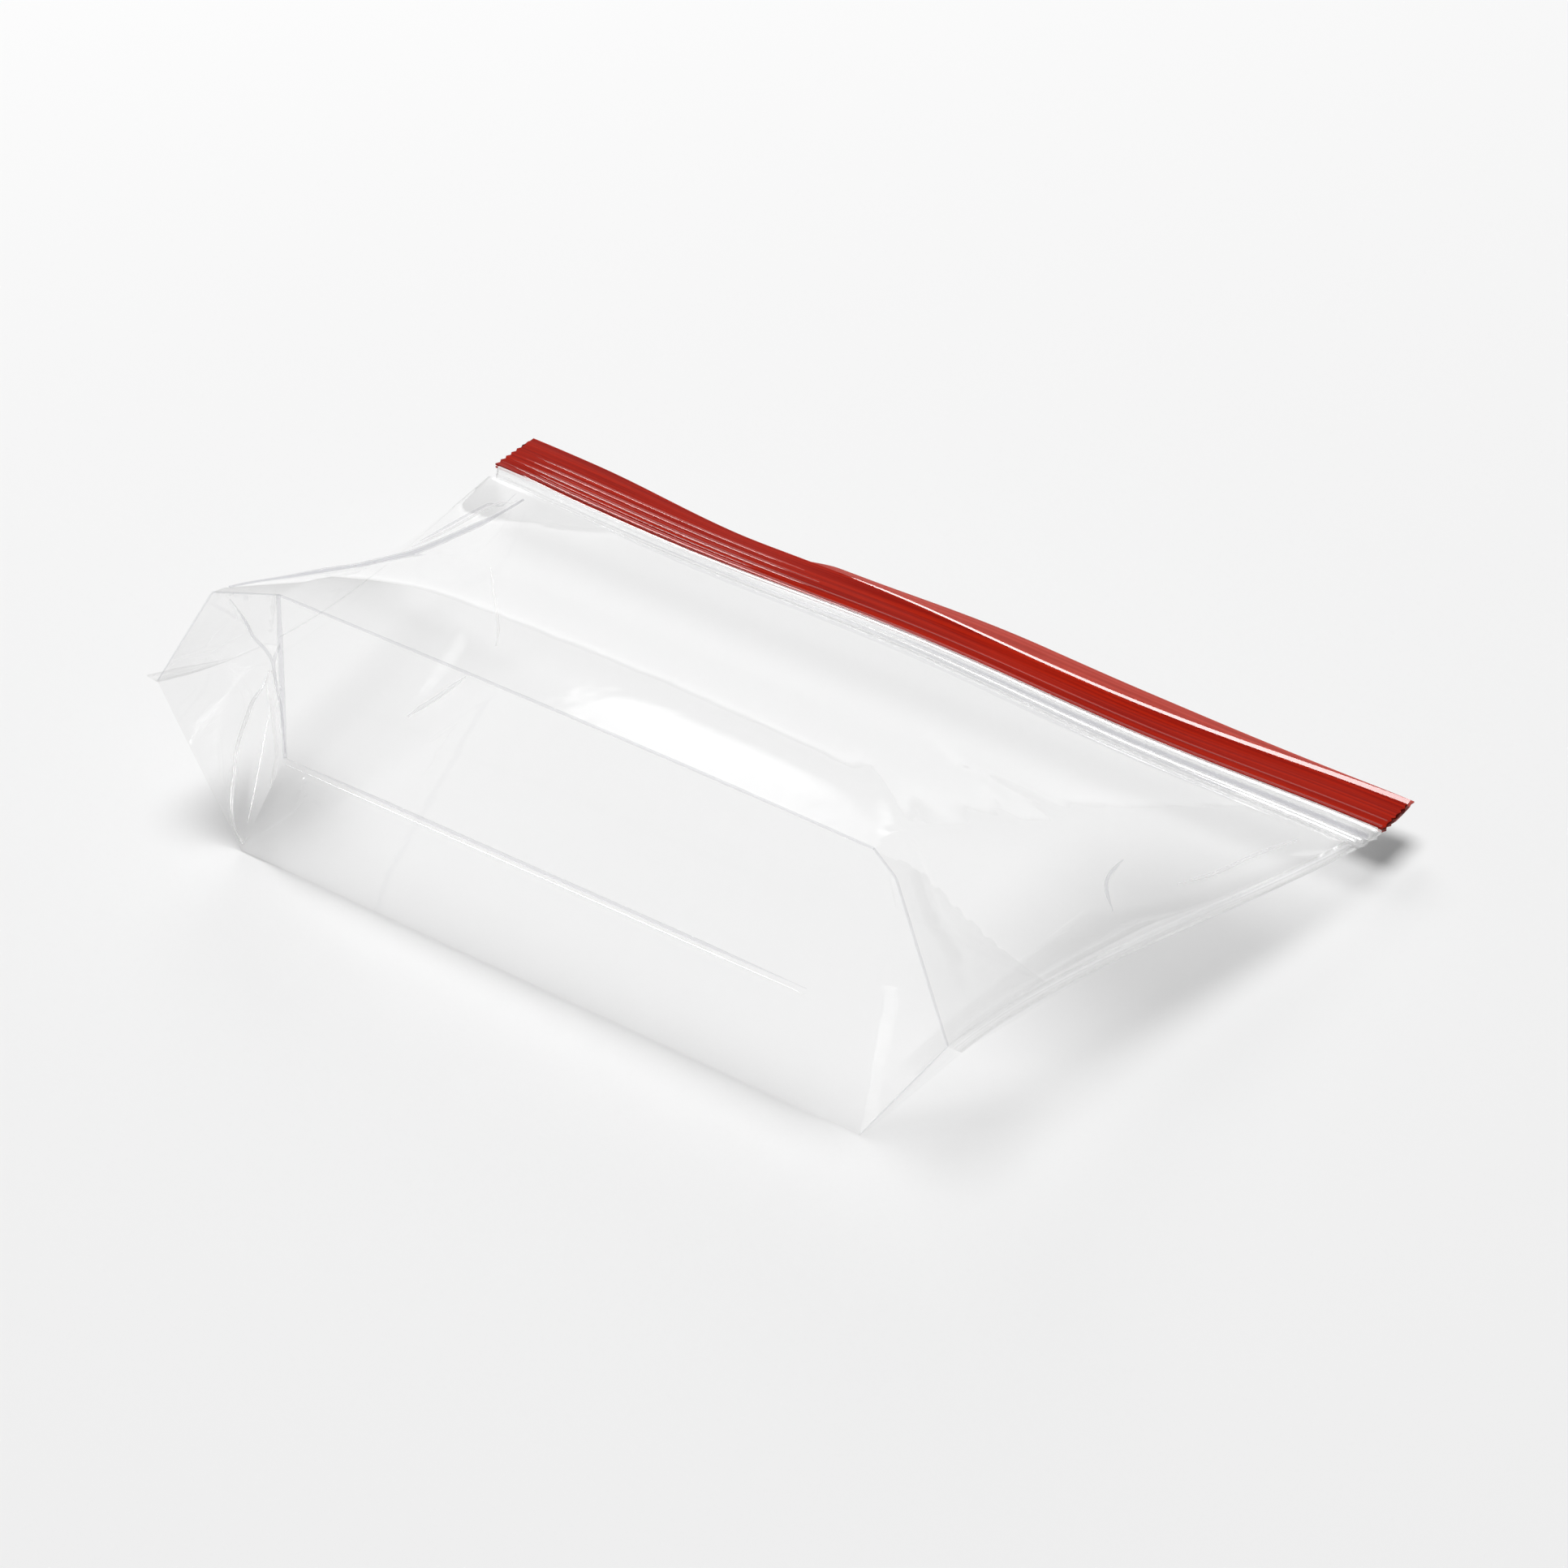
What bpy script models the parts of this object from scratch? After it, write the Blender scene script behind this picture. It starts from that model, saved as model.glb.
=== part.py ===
"""Empty clear freezer bag, pressed shut, puffed with air and lying on its back panel.

Metres, +Z up. X runs along the zip, +Y from the opened bottom gusset to the zip.
The pouch is one film: a front panel on top, a back panel on the floor, and a gusset
between them that stands open as the near face and ends in a folded ear at each side.
"""
import math

import bmesh
import bpy
import numpy as np

MM = 0.001

# Flat bag and zip
ZIP_LENGTH = 270 * MM
TAPE_WIDTH = 14.7 * MM
TAPE_THICK = 0.5 * MM
BAND_WIDTH = 11.0 * MM
BAND_THICK = 1.6 * MM
GAP = 0.35 * MM
RIBS = 8
RIB_HEIGHT = 0.35 * MM
LIP_WIDTH = 4.5 * MM
LIP_STEP = 4.6 * MM
LIP_GAPE = 2.2 * MM
ZIP_HEIGHT = {-1: 15.5 * MM, 1: 11.5 * MM}
BAND_RISE = {-1: 4.5 * MM, 1: 1.5 * MM}
ZIP_SAG = 1.5 * MM

# Puffed pouch: the corners where film folds meet, left (-1) and right (1)
TIP = {-1: (-115.0, -169.0, 39.5), 1: (114.5, -169.5, 35.5)}
SHOULDER = {-1: (-104.0, -159.5, 64.0), 1: (95.0, -162.0, 68.0)}
FOLD_CORNER = {-1: (-89.0, -153.0, 65.5), 1: (88.0, -160.5, 72.0)}
CREASE_CORNER = {-1: (-78.0, -166.5, 31.0), 1: (78.0, -171.5, 36.0)}
BASE_CORNER = {-1: (-91.0, -170.0, 0.0), 1: (92.0, -170.5, 0.0)}
CORNER_SHARE = 0.70
FOLD_ARCH = 0.8 * MM
CROWN_FALL = 1.45
SIDE_FULLNESS = {-1: 0.55, 1: 0.62}
SIDE_POWER = {-1: (8.0, 5.0), 1: (6.0, 3.2)}
FACE_BULGE = 2.5 * MM

# Side welds
WELD_WIDTH = 3.5 * MM
WELD_PULL = {-1: 3.5 * MM, 1: 0.5 * MM}
WELD_THICK = 0.9 * MM
WELD_DIP = 4.0 * MM
WELD_FALL = {-1: 2.3, 1: 1.05}
GUSSET_SHARE = 0.27
EAR_AIR = 1.5 * MM
EAR_GAP = 0.6 * MM

# Fineness of the faceted pouch
SIDE_STEPS = 9
MIDDLE_STEPS = 14
ROWS = 20
ZIP_STEPS = 30

RED = (0.42, 0.012, 0.008)
RED_LIP = (0.46, 0.03, 0.02)
CLEAR = (0.9, 0.9, 0.9)


def mix(a, b, share):
    """Straight blend from a to b."""
    return a + (b - a) * share


def smooth(x, low, high):
    """Rises from 0 to 1 between low and high with no kink at either end."""
    t = np.clip((np.asarray(x, float) - low) / (high - low), 0.0, 1.0)
    return t * t * (3.0 - 2.0 * t)


def new_object(name, bm, material):
    """Cleans a mesh, turns its faces outward and links it as one object."""
    bmesh.ops.remove_doubles(bm, verts=bm.verts, dist=0.001 * MM)
    bmesh.ops.dissolve_degenerate(bm, edges=bm.edges, dist=0.001 * MM)
    bmesh.ops.recalc_face_normals(bm, faces=bm.faces)
    bmesh.ops.triangulate(bm, faces=bm.faces)
    mesh = bpy.data.meshes.new(name)
    bm.to_mesh(mesh)
    bm.free()
    mesh.shade_smooth()
    mesh.set_sharp_from_angle(angle=math.radians(35))
    mesh.materials.append(material)
    obj = bpy.data.objects.new(name, mesh)
    bpy.context.collection.objects.link(obj)
    return obj


def plastic(name, colour, roughness, alpha=1.0):
    """A Principled plastic."""
    material = bpy.data.materials.new(name)
    material.use_nodes = True
    shader = material.node_tree.nodes["Principled BSDF"]
    shader.inputs["Base Color"].default_value = (*colour, 1.0)
    shader.inputs["Roughness"].default_value = roughness
    shader.inputs["Alpha"].default_value = alpha
    return material


# ---- Zip line: where the strip runs ----

def zip_share(x):
    """How far x lies along the zip, 0 at its left end and 1 at its right."""
    return np.asarray(x, float) / ZIP_LENGTH + 0.5


def zip_z(x):
    """Height of the red tape above the floor."""
    share = zip_share(x)
    sag = ZIP_SAG * np.sin(2.0 * math.pi * share) ** 2
    return mix(ZIP_HEIGHT[-1], ZIP_HEIGHT[1], share) - sag


def band_rise(x):
    """How far the clear band climbs from the tape to the pouch."""
    share = zip_share(x)
    lift = mix(BAND_RISE[-1], BAND_RISE[1], share)
    return lift + 1.5 * MM * np.sin(math.pi * share)


def mouth(x):
    """The line where the pouch ends and the clear band begins, as y and z."""
    return -TAPE_WIDTH - BAND_WIDTH - 2.0 * GAP, zip_z(x) + band_rise(x)


# ---- Pouch: fold lines and side welds ----

def polyline(u, stops, corners):
    """Straight lines through corners given in metres, by their stops along u."""
    places = np.array(corners)
    return np.stack([np.interp(u, stops, places[:, k]) for k in range(3)], -1)


def front_fold(u):
    """Where the front panel turns into the gusset; u is -1 and 1 at the bag's tips."""
    stops = [-1.0, -0.86, -CORNER_SHARE, CORNER_SHARE, 0.78, 1.0]
    corners = [TIP[-1], SHOULDER[-1], FOLD_CORNER[-1], FOLD_CORNER[1], SHOULDER[1], TIP[1]]
    line = polyline(u, stops, np.array(corners) * MM)
    line[:, 2] += FOLD_ARCH * np.clip(1.0 - (u / CORNER_SHARE) ** 2, 0.0, None)
    line[:, 2] += WELD_THICK / 2.0
    return line


def back_fold(u):
    """Where the gusset turns into the back panel, on the floor between its corners."""
    stops = [-1.0, -CORNER_SHARE, CORNER_SHARE, 1.0]
    corners = [TIP[-1], BASE_CORNER[-1], BASE_CORNER[1], TIP[1]]
    line = polyline(u, stops, np.array(corners) * MM)
    lift = np.clip((np.abs(u) - CORNER_SHARE) / (1.0 - CORNER_SHARE), 0.0, 1.0)
    line[:, 2] -= WELD_THICK / 2.0 * lift
    return line


def weld(side, v):
    """The inner edge of a side weld; v is 0 at the bottom corner and 1 at the zip."""
    tip = np.array(TIP[side]) * MM
    end_x = side * (ZIP_LENGTH / 2.0 - WELD_WIDTH - WELD_PULL[side])
    end_y, end_z = mouth(end_x)
    dip = side * WELD_DIP * 6.75 * v * (1.0 - v) ** 2
    x = mix(tip[0], end_x, v) - dip
    y = mix(tip[1], end_y, v)
    z = end_z + (tip[2] - end_z) * (1.0 - v) ** WELD_FALL[side]
    return np.stack([x, y, z], -1)


def centre_crease(u):
    """The fold along the middle of the gusset, which ends on the welds behind the ears."""
    ends = {side: weld(side, np.array(GUSSET_SHARE)) for side in (-1, 1)}
    corners = {side: np.array(CREASE_CORNER[side]) * MM for side in (-1, 1)}
    stops = [-1.0, -CORNER_SHARE, CORNER_SHARE, 1.0]
    return polyline(u, stops, [ends[-1], corners[-1], corners[1], ends[1]])


# ---- Pouch: its three sheets as grids of points, [column, row] ----

def columns():
    """Column places from tip to tip, with one at each corner of the near face."""
    side = np.linspace(1.0, CORNER_SHARE, SIDE_STEPS + 1)
    middle = np.linspace(-CORNER_SHARE, CORNER_SHARE, MIDDLE_STEPS + 1)[1:-1]
    return np.concatenate([-side, middle, side[::-1]])


def panel_frame(u, v, fold):
    """Weld place, share of the half width and plan position for a whole panel."""
    uu, vv = np.meshgrid(u, v, indexing="ij")
    left = weld(-1, v)
    right = weld(1, v)
    edge_x = np.where(uu < 0.0, -left[None, :, 0], right[None, :, 0])
    edge_z = np.where(uu < 0.0, left[None, :, 2], right[None, :, 2])
    tip_x = np.where(u < 0.0, abs(TIP[-1][0]), TIP[1][0])[:, None] * MM
    x = fold[:, None, 0] * edge_x / tip_x
    mouth_y, mouth_z = mouth(x)
    y = mix(fold[:, None, 1], mouth_y, vv)
    return vv, x, y, edge_z, np.abs(x) / edge_x, mouth_z


def round_side(share, power, fullness):
    """1 over the middle of a panel, falling to 0 at its weld."""
    return np.clip(1.0 - np.minimum(share, 1.0) ** power, 0.0, 1.0) ** fullness


def front_panel(u, v):
    """The top sheet, highest at the gusset and running down to the zip."""
    fold = front_fold(u)
    vv, x, y, edge_z, share, mouth_z = panel_frame(u, v, fold)
    half = WELD_THICK / 2.0
    ridge = front_fold(np.clip(u, -CORNER_SHARE, CORNER_SHARE))[:, 2:]
    crown = mix(ridge, mouth_z, vv ** CROWN_FALL)
    fullness = np.where(u < 0.0, SIDE_FULLNESS[-1], SIDE_FULLNESS[1])[:, None]
    left, right = (mix(*SIDE_POWER[side], vv) for side in (-1, 1))
    power = np.where(u[:, None] < 0.0, left, right)
    puffed = round_side(share, power, fullness)
    puffed_z = edge_z + half + (crown - edge_z - half) * puffed
    tip_z = edge_z[:, :1] + half
    folded = (fold[:, 2:] - tip_z) / (ridge - tip_z)
    folded_z = edge_z + half + (crown - edge_z - half) * folded
    z = mix(folded_z, puffed_z, smooth(vv, 0.0, 0.32))
    air = np.sin(math.pi * np.clip(vv / 0.5, 0.0, 1.0)) * (1.0 - share ** 8)
    z = z + EAR_AIR * air
    z[:, -1] = mouth_z[:, -1] + half
    return np.stack([x, y, z], -1)


def ear_gap(out, w):
    """How far a sheet of the ear stays off its neighbour: none at the fold or the weld."""
    return EAR_GAP * np.clip(w / 0.1, 0.0, 1.0) * np.clip((1.0 - out) / 0.2, 0.0, 1.0)


def under_ear(u, vv, x, edge_x, edge_z):
    """Greatest height of the back panel below the gusset sheet folded over it."""
    out = np.clip((np.abs(u) - CORNER_SHARE) / (1.0 - CORNER_SHARE), 0.0, 1.0)[:, None]
    w = vv / GUSSET_SHARE
    near = np.minimum(w, 1.0)
    side = np.where(u < 0.0, 0, 1)[:, None]
    corner = np.array([abs(BASE_CORNER[k][0]) for k in (-1, 1)])[side] * MM
    tip = np.abs([TIP[k] for k in (-1, 1)])[side] * MM
    end = np.abs([weld(k, np.array(GUSSET_SHARE)) for k in (-1, 1)])[side]
    tip_x, tip_z = tip[..., 0], tip[..., 2] - WELD_THICK / 2.0
    end_x, end_z = end[..., 0], end[..., 2]
    before = np.maximum(out - w, 0.0) + np.maximum(w - out - 0.5, 0.0)
    sheet = tip_z * before + end_z * np.minimum(w, out)
    sheet += out ** 2 * (edge_z - mix(tip_z, end_z, near))
    sheet_x = mix(corner, tip_x, out) + near * (end_x - tip_x)
    sheet_x += out ** 2 * (edge_x - mix(tip_x, end_x, near))
    sheet += (np.abs(x) - sheet_x) * tip_z / (tip_x - corner)
    return np.where(out > 0.0, sheet - ear_gap(out, w), 1.0)


def back_panel(u, v):
    """The bottom sheet, flat on the floor and turned up to the welds and the zip."""
    fold = back_fold(u)
    vv, x, y, edge_z, share, mouth_z = panel_frame(u, v, fold)
    half = WELD_THICK / 2.0
    lift = (mouth_z - half) * smooth(vv, 0.68, 1.0) ** 1.3
    puffed = np.clip(1.2 * round_side(share, mix(5.0, 3.4, vv), 0.7), 0.0, 1.0)
    puffed_z = mix(edge_z - half, lift, puffed)
    folded = fold[:, None, 2] / (edge_z[:, :1] - half)
    folded_z = folded * (edge_z - half)
    z = mix(folded_z, puffed_z, smooth(vv, 0.0, 0.3))
    most = under_ear(u, vv, x, np.abs(x) / share, edge_z)
    z = np.clip(z, 0.0, np.maximum(most, 0.0))
    z[:, 0] = fold[:, 2]
    z[:, -1] = mouth_z[:, -1] - half
    z[0] = edge_z[0] - half
    z[-1] = edge_z[-1] - half
    return np.stack([x, y, z], -1)


def half_gusset(u, fold, crease, rows, inward):
    """Half of the gusset; past the face's corners it folds along a slanting crease.

    There it lies against a panel, inward (-1 down, 1 up) of it by a little air.
    """
    out = np.clip((np.abs(u) - CORNER_SHARE) / (1.0 - CORNER_SHARE), 0.0, 1.0)[:, None]
    side = u < 0.0
    last = len(u) - 1
    corner = SIDE_STEPS
    fold_at = np.where(side[:, None], fold[corner], fold[last - corner])
    crease_at = np.where(side[:, None], crease[corner], crease[last - corner])
    tip = np.where(side[:, None], fold[0], fold[last])
    end = np.where(side[:, None], crease[0], crease[last])
    grid = []
    for w in rows:
        face = mix(fold, crease, w)
        ear = fold_at * (1.0 - out) + tip * (out - w) + end * w
        behind = fold_at * (1.0 - w) + crease_at * (w - out) + end * out
        ends = np.where(w <= out, ear + (fold - mix(fold_at, tip, out)) * (1.0 - w), behind)
        row = np.where(out > 0.0, ends, face)
        laid = np.clip(1.0 - (w - out) / 0.3, 0.0, 1.0) * (out > 0.0)
        row[:, 2:] += inward * laid * ear_gap(out, w)
        grid.append(row)
    return grid


def gusset(u):
    """The opened gusset, from the front fold over its centre crease to the back fold."""
    steps = np.linspace(0.0, 1.0, SIDE_STEPS + 1)
    crease = centre_crease(u)
    rows = half_gusset(u, front_fold(u), crease, steps, -1)
    rows += half_gusset(u, back_fold(u), crease, steps, 1)[-2::-1]
    grid = np.stack(rows, 1)
    face = 1.0 - smooth(np.abs(u), CORNER_SHARE - 0.1, CORNER_SHARE)
    bulge = np.abs(np.sin(2.0 * math.pi * np.linspace(0.0, 1.0, len(rows))))
    grid[:, :, 1] -= FACE_BULGE * face[:, None] * bulge
    for column, side in ((0, -1), (-1, 1)):
        valley = weld(side, GUSSET_SHARE * steps)
        pull = np.vstack([valley, valley[-2::-1]]) - grid[column]
        pull[[0, -1]] = 0.0
        near = np.clip((side * u - CORNER_SHARE) / (1.0 - CORNER_SHARE), 0.0, 1.0) ** 2
        grid += near[:, None, None] * pull
    return grid


def add_grid(bm, grid, keel=None):
    """Adds a grid of points as triangles; at each end they fan out from row keel."""
    verts = [[bm.verts.new(p) for p in column] for column in grid]
    middle = len(verts) // 2
    for column, (a, b) in enumerate(zip(verts, verts[1:])):
        for i in range(len(a) - 1):
            corners = [a[i], b[i], b[i + 1], a[i + 1]]
            if keel is not None and (i < keel) == (column < middle):
                corners = corners[1:] + corners[:1]
            bm.faces.new((corners[0], corners[1], corners[2]))
            bm.faces.new((corners[0], corners[2], corners[3]))


def weld_rim(side, v):
    """Outer edge of a side weld, level with its inner edge."""
    line = weld(side, v)
    return line + np.array([side * WELD_WIDTH, 0.0, 0.0])


def build_pouch():
    """Joins the three sheets, the two welded edges and the end at the zip."""
    u = columns()
    v = np.linspace(0.0, 1.0, ROWS + 1)
    half = np.array([0.0, 0.0, WELD_THICK / 2.0])
    top = front_panel(u, v)
    bottom = back_panel(u, v)
    folds = gusset(u)
    bm = bmesh.new()
    for grid in (top, bottom, np.stack([top[:, -1], bottom[:, -1]], 1)):
        add_grid(bm, grid)
    add_grid(bm, folds, SIDE_STEPS)
    for column, side in ((0, -1), (-1, 1)):
        rim = weld_rim(side, v)
        loop = [top[column], rim + half, rim - half, bottom[column]]
        add_grid(bm, np.stack(loop, 0))
        end = [loop[0][-1], loop[1][-1], loop[2][-1], loop[3][-1]]
        bm.faces.new([bm.verts.new(p) for p in end])
        tip = [loop[0][0], loop[1][0], loop[2][0], loop[3][0], folds[column, 1]]
        bm.faces.new([bm.verts.new(p) for p in tip])
    return new_object("pouch_film", bm, plastic("polyethylene_film", CLEAR, 0.12, 0.3))


# ---- Zip strip: two red tapes and the clear band ----

def sweep(profile, stations):
    """A closed strip: profile(x) gives its outline as rows of y and z at each station."""
    bm = bmesh.new()
    rings = []
    for x in stations:
        outline = profile(x)
        rings.append(np.column_stack([np.full(len(outline), x), outline]))
    grid = np.array([np.vstack([ring, ring[:1]]) for ring in rings])
    add_grid(bm, grid)
    for ring in (rings[0], rings[-1]):
        bm.faces.new([bm.verts.new(p) for p in ring])
    return bm


def zip_stations():
    """Places along the zip, just inside its ends."""
    half = ZIP_LENGTH / 2.0
    return np.linspace(-half, half, ZIP_STEPS + 1)


def ribbed_edge(width, lip):
    """Outer side of a tape from the band to its free edge: ribs, then a plain lip."""
    ribbed = width - lip
    pitch = ribbed / RIBS
    places = [(0.0, 0.0)]
    for i in range(RIBS):
        places.append(((i + 0.3) * pitch, RIB_HEIGHT))
        places.append(((i + 0.7) * pitch, RIB_HEIGHT))
        places.append(((i + 1.0) * pitch, 0.0))
    places.append((width, 0.0))
    return np.array(places)


def tape_outline(x, side, width, lip, gape):
    """Outline of a tape on one side of the shut zip: side is 1 above and -1 below."""
    outer = ribbed_edge(width, lip)
    bend = width - 1.6 * lip
    inner = np.array([(width - k * lip, 0.0) for k in (0.0, 1.0, 1.2, 1.4, 1.6)] + [(0.0, 0.0)])
    opened = smooth(outer[:, 0], bend, width)
    opened_in = smooth(inner[:, 0], bend, width)
    lower = GAP / 2.0 + gape * opened_in
    upper = GAP / 2.0 + TAPE_THICK + outer[:, 1] + gape * opened
    y = np.concatenate([outer[:, 0], inner[:, 0]]) - TAPE_WIDTH
    z = np.concatenate([upper, lower]) * side + zip_z(x)
    return np.column_stack([y, z])


def front_outline(x):
    """Front tape: its lip stands short of the back lip over the right half."""
    share = zip_share(x)
    short = LIP_STEP * smooth(share, 0.30, 0.45)
    gape = LIP_GAPE * smooth(share, 0.25, 0.5) * (1.0 - smooth(share, 0.85, 1.0))
    return tape_outline(x, 1, TAPE_WIDTH - short, LIP_WIDTH - 0.5 * short, gape)


def back_outline(x):
    """Back tape, full width, with a plain lip that lies flat."""
    return tape_outline(x, -1, TAPE_WIDTH, LIP_WIDTH, 0.0)


def band_outline(x):
    """Clear band: thin film edges round two thick beads of the second zip track."""
    start, end = mouth(x)[0] + GAP, -TAPE_WIDTH - GAP
    width = end - start
    rise = band_rise(x)
    shares = np.array([0.0, 0.12, 0.22, 0.34, 0.46, 0.56, 0.66, 0.78, 0.88, 1.0])
    swell = np.array([0.3, 0.35, 1.0, 1.0, 0.5, 0.5, 1.0, 1.0, 0.4, 0.35]) * BAND_THICK / 2.0
    y = start + width * shares
    middle = zip_z(x) + rise * (1.0 - shares)
    top = np.column_stack([y, middle + swell])
    bottom = np.column_stack([y, middle - swell])[::-1]
    return np.vstack([top, bottom])


def build_zip():
    """The two red tapes and the clear band below them."""
    red = plastic("red_polyethylene", RED, 0.25)
    lip = plastic("thin_red_polyethylene", RED_LIP, 0.3)
    clear = plastic("clear_polyethylene", CLEAR, 0.15, 0.5)
    stations = zip_stations()
    new_object("zip_tape_front", sweep(front_outline, stations), red)
    new_object("zip_tape_back", sweep(back_outline, stations), lip)
    new_object("clear_zip_band", sweep(band_outline, stations), clear)


def centre_on_floor():
    """Moves every mesh so that the whole stands on z 0, centred on the origin."""
    meshes = [obj.data for obj in bpy.data.objects if obj.type == "MESH"]
    places = np.array([v.co for mesh in meshes for v in mesh.vertices])
    low, high = places.min(0), places.max(0)
    shift = np.array([-(low[0] + high[0]) / 2.0, -(low[1] + high[1]) / 2.0, -low[2]])
    for mesh in meshes:
        for vert in mesh.vertices:
            vert.co = vert.co + type(vert.co)(shift)


for old in list(bpy.data.objects):
    bpy.data.objects.remove(old)
build_pouch()
build_zip()
centre_on_floor()
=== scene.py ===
import math

import bmesh
import bpy
import numpy as np
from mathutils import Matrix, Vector
from mathutils.bvhtree import BVHTree


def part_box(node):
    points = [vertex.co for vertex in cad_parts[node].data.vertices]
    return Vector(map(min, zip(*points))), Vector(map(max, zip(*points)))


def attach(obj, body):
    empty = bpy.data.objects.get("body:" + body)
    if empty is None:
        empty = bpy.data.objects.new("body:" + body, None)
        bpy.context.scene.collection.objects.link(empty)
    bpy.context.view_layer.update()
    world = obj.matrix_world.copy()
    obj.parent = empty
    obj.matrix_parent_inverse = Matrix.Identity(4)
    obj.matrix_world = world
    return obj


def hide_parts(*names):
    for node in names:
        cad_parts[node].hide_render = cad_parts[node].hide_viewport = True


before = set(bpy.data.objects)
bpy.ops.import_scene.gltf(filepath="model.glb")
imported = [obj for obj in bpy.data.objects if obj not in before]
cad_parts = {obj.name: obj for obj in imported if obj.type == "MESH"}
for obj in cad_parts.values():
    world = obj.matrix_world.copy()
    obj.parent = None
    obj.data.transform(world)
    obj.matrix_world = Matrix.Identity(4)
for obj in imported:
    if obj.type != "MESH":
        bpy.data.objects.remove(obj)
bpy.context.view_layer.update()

# ==== Studio ====
# A pale paper sweep under two soft boxes, one overhead and one behind to the left. The film
# shows by what it mirrors: a pale room with a window behind and dark screens at the sides.

MM = 0.001


def linear(hex_colour):
    """Linear RGBA of an sRGB hex colour."""
    channels = [int(hex_colour[i:i + 2], 16) / 255.0 for i in (1, 3, 5)]
    return [c / 12.92 if c <= 0.04045 else ((c + 0.055) / 1.055) ** 2.4 for c in channels] + [1.0]


def add_node(tree, kind, settings=(), **links):
    """Adds a node: settings by attribute or socket, links by socket name or i and number.

    A link comes from a socket, or from a node's first output."""
    node = tree.nodes.new(kind)
    for key, value in dict(settings).items():
        if isinstance(key, str) and hasattr(node, key):
            setattr(node, key, value)
        else:
            node.inputs[key].default_value = value
    for key, source in links.items():
        name = key.replace("_", " ")
        numbered = name[0] == "i" and name[1:].isdigit()
        socket = node.inputs[int(name[1:]) if numbered else name]
        tree.links.new(getattr(source, "outputs", [source])[0], socket)
    return node


def new_tree(name):
    """An empty material tree."""
    material = bpy.data.materials.new(name)
    material.use_nodes = True
    material.node_tree.nodes.clear()
    return material, material.node_tree


def new_object(name, data):
    """A new object in the scene."""
    obj = bpy.data.objects.new(name, data)
    scene.collection.objects.link(obj)
    return obj


CAMERA_AZIMUTH = math.radians(36.0)
CAMERA_HEIGHT = math.radians(35.5)
CAMERA_DISTANCE = 1.283
CAMERA_TARGET = Vector((-0.0016, 0.0162, 0.0))

scene = bpy.context.scene
scene.view_settings.view_transform = "Standard"
scene.cycles.transparent_max_bounces = 48
scene.cycles.max_bounces = 16
scene.cycles.transmission_bounces = 16
scene.cycles.glossy_bounces = 6

camera_data = bpy.data.cameras.new("camera")
camera_data.lens = 120.0
camera_data.sensor_width = 36.0
camera_data.clip_end = 20.0
camera = new_object("camera", camera_data)
camera_back = Vector((
    math.sin(CAMERA_AZIMUTH) * math.cos(CAMERA_HEIGHT),
    -math.cos(CAMERA_AZIMUTH) * math.cos(CAMERA_HEIGHT),
    math.sin(CAMERA_HEIGHT),
))
camera.location = CAMERA_TARGET + camera_back * CAMERA_DISTANCE
camera.rotation_euler = camera_back.to_track_quat("Z", "Y").to_euler()
scene.camera = camera

# the room: an even grey with brighter and darker panels, which the film mirrors
world = bpy.data.worlds.new("studio")
scene.world = world
world.use_nodes = True
# panels are only mirrored, so the room isn't sampled as a lamp
world.cycles.sampling_method = "NONE"
room = world.node_tree
room.nodes.clear()
toward = add_node(room, "ShaderNodeTexCoord")
split = add_node(room, "ShaderNodeSeparateXYZ", Vector=toward.outputs["Generated"])
to_left = add_node(
    room, "ShaderNodeMath", {"operation": "MULTIPLY", 1: -1.0}, i0=split.outputs["X"])
azimuth = add_node(
    room, "ShaderNodeMath", {"operation": "ARCTAN2"}, i0=to_left, i1=split.outputs["Y"])
height = add_node(room, "ShaderNodeMath", {"operation": "ARCSINE"}, i0=split.outputs["Z"])


def edge(angle, low, high):
    """Rises from 0 to 1 as an angle passes from low to high, in degrees."""
    return add_node(
        room, "ShaderNodeMapRange",
        {"interpolation_type": "SMOOTHSTEP", 1: math.radians(low), 2: math.radians(high)}, i0=angle)


def panel(brightness, left, right, bottom, top, soft, lean=0.0):
    """A lit panel of the room: angles left of +Y and above the horizon, in degrees.

    lean is how far the panel moves left for each degree of height."""
    upright = add_node(
        room, "ShaderNodeMath", {"operation": "MULTIPLY_ADD", 1: -lean}, i0=height, i2=azimuth)
    sides = [
        edge(upright, right - soft[1], right + soft[1]),
        edge(upright, left + soft[0], left - soft[0]),
        edge(height, bottom - soft[2], bottom + soft[2]),
        edge(height, top + soft[3], top - soft[3]),
    ]
    lit = add_node(room, "ShaderNodeMath", {"operation": "MULTIPLY", 1: brightness}, i0=sides[0])
    for side in sides[1:]:
        lit = add_node(room, "ShaderNodeMath", {"operation": "MULTIPLY"}, i0=lit, i1=side)
    return lit


ROOM_GREY = 0.84
ROOM_FILL = 0.17
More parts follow.
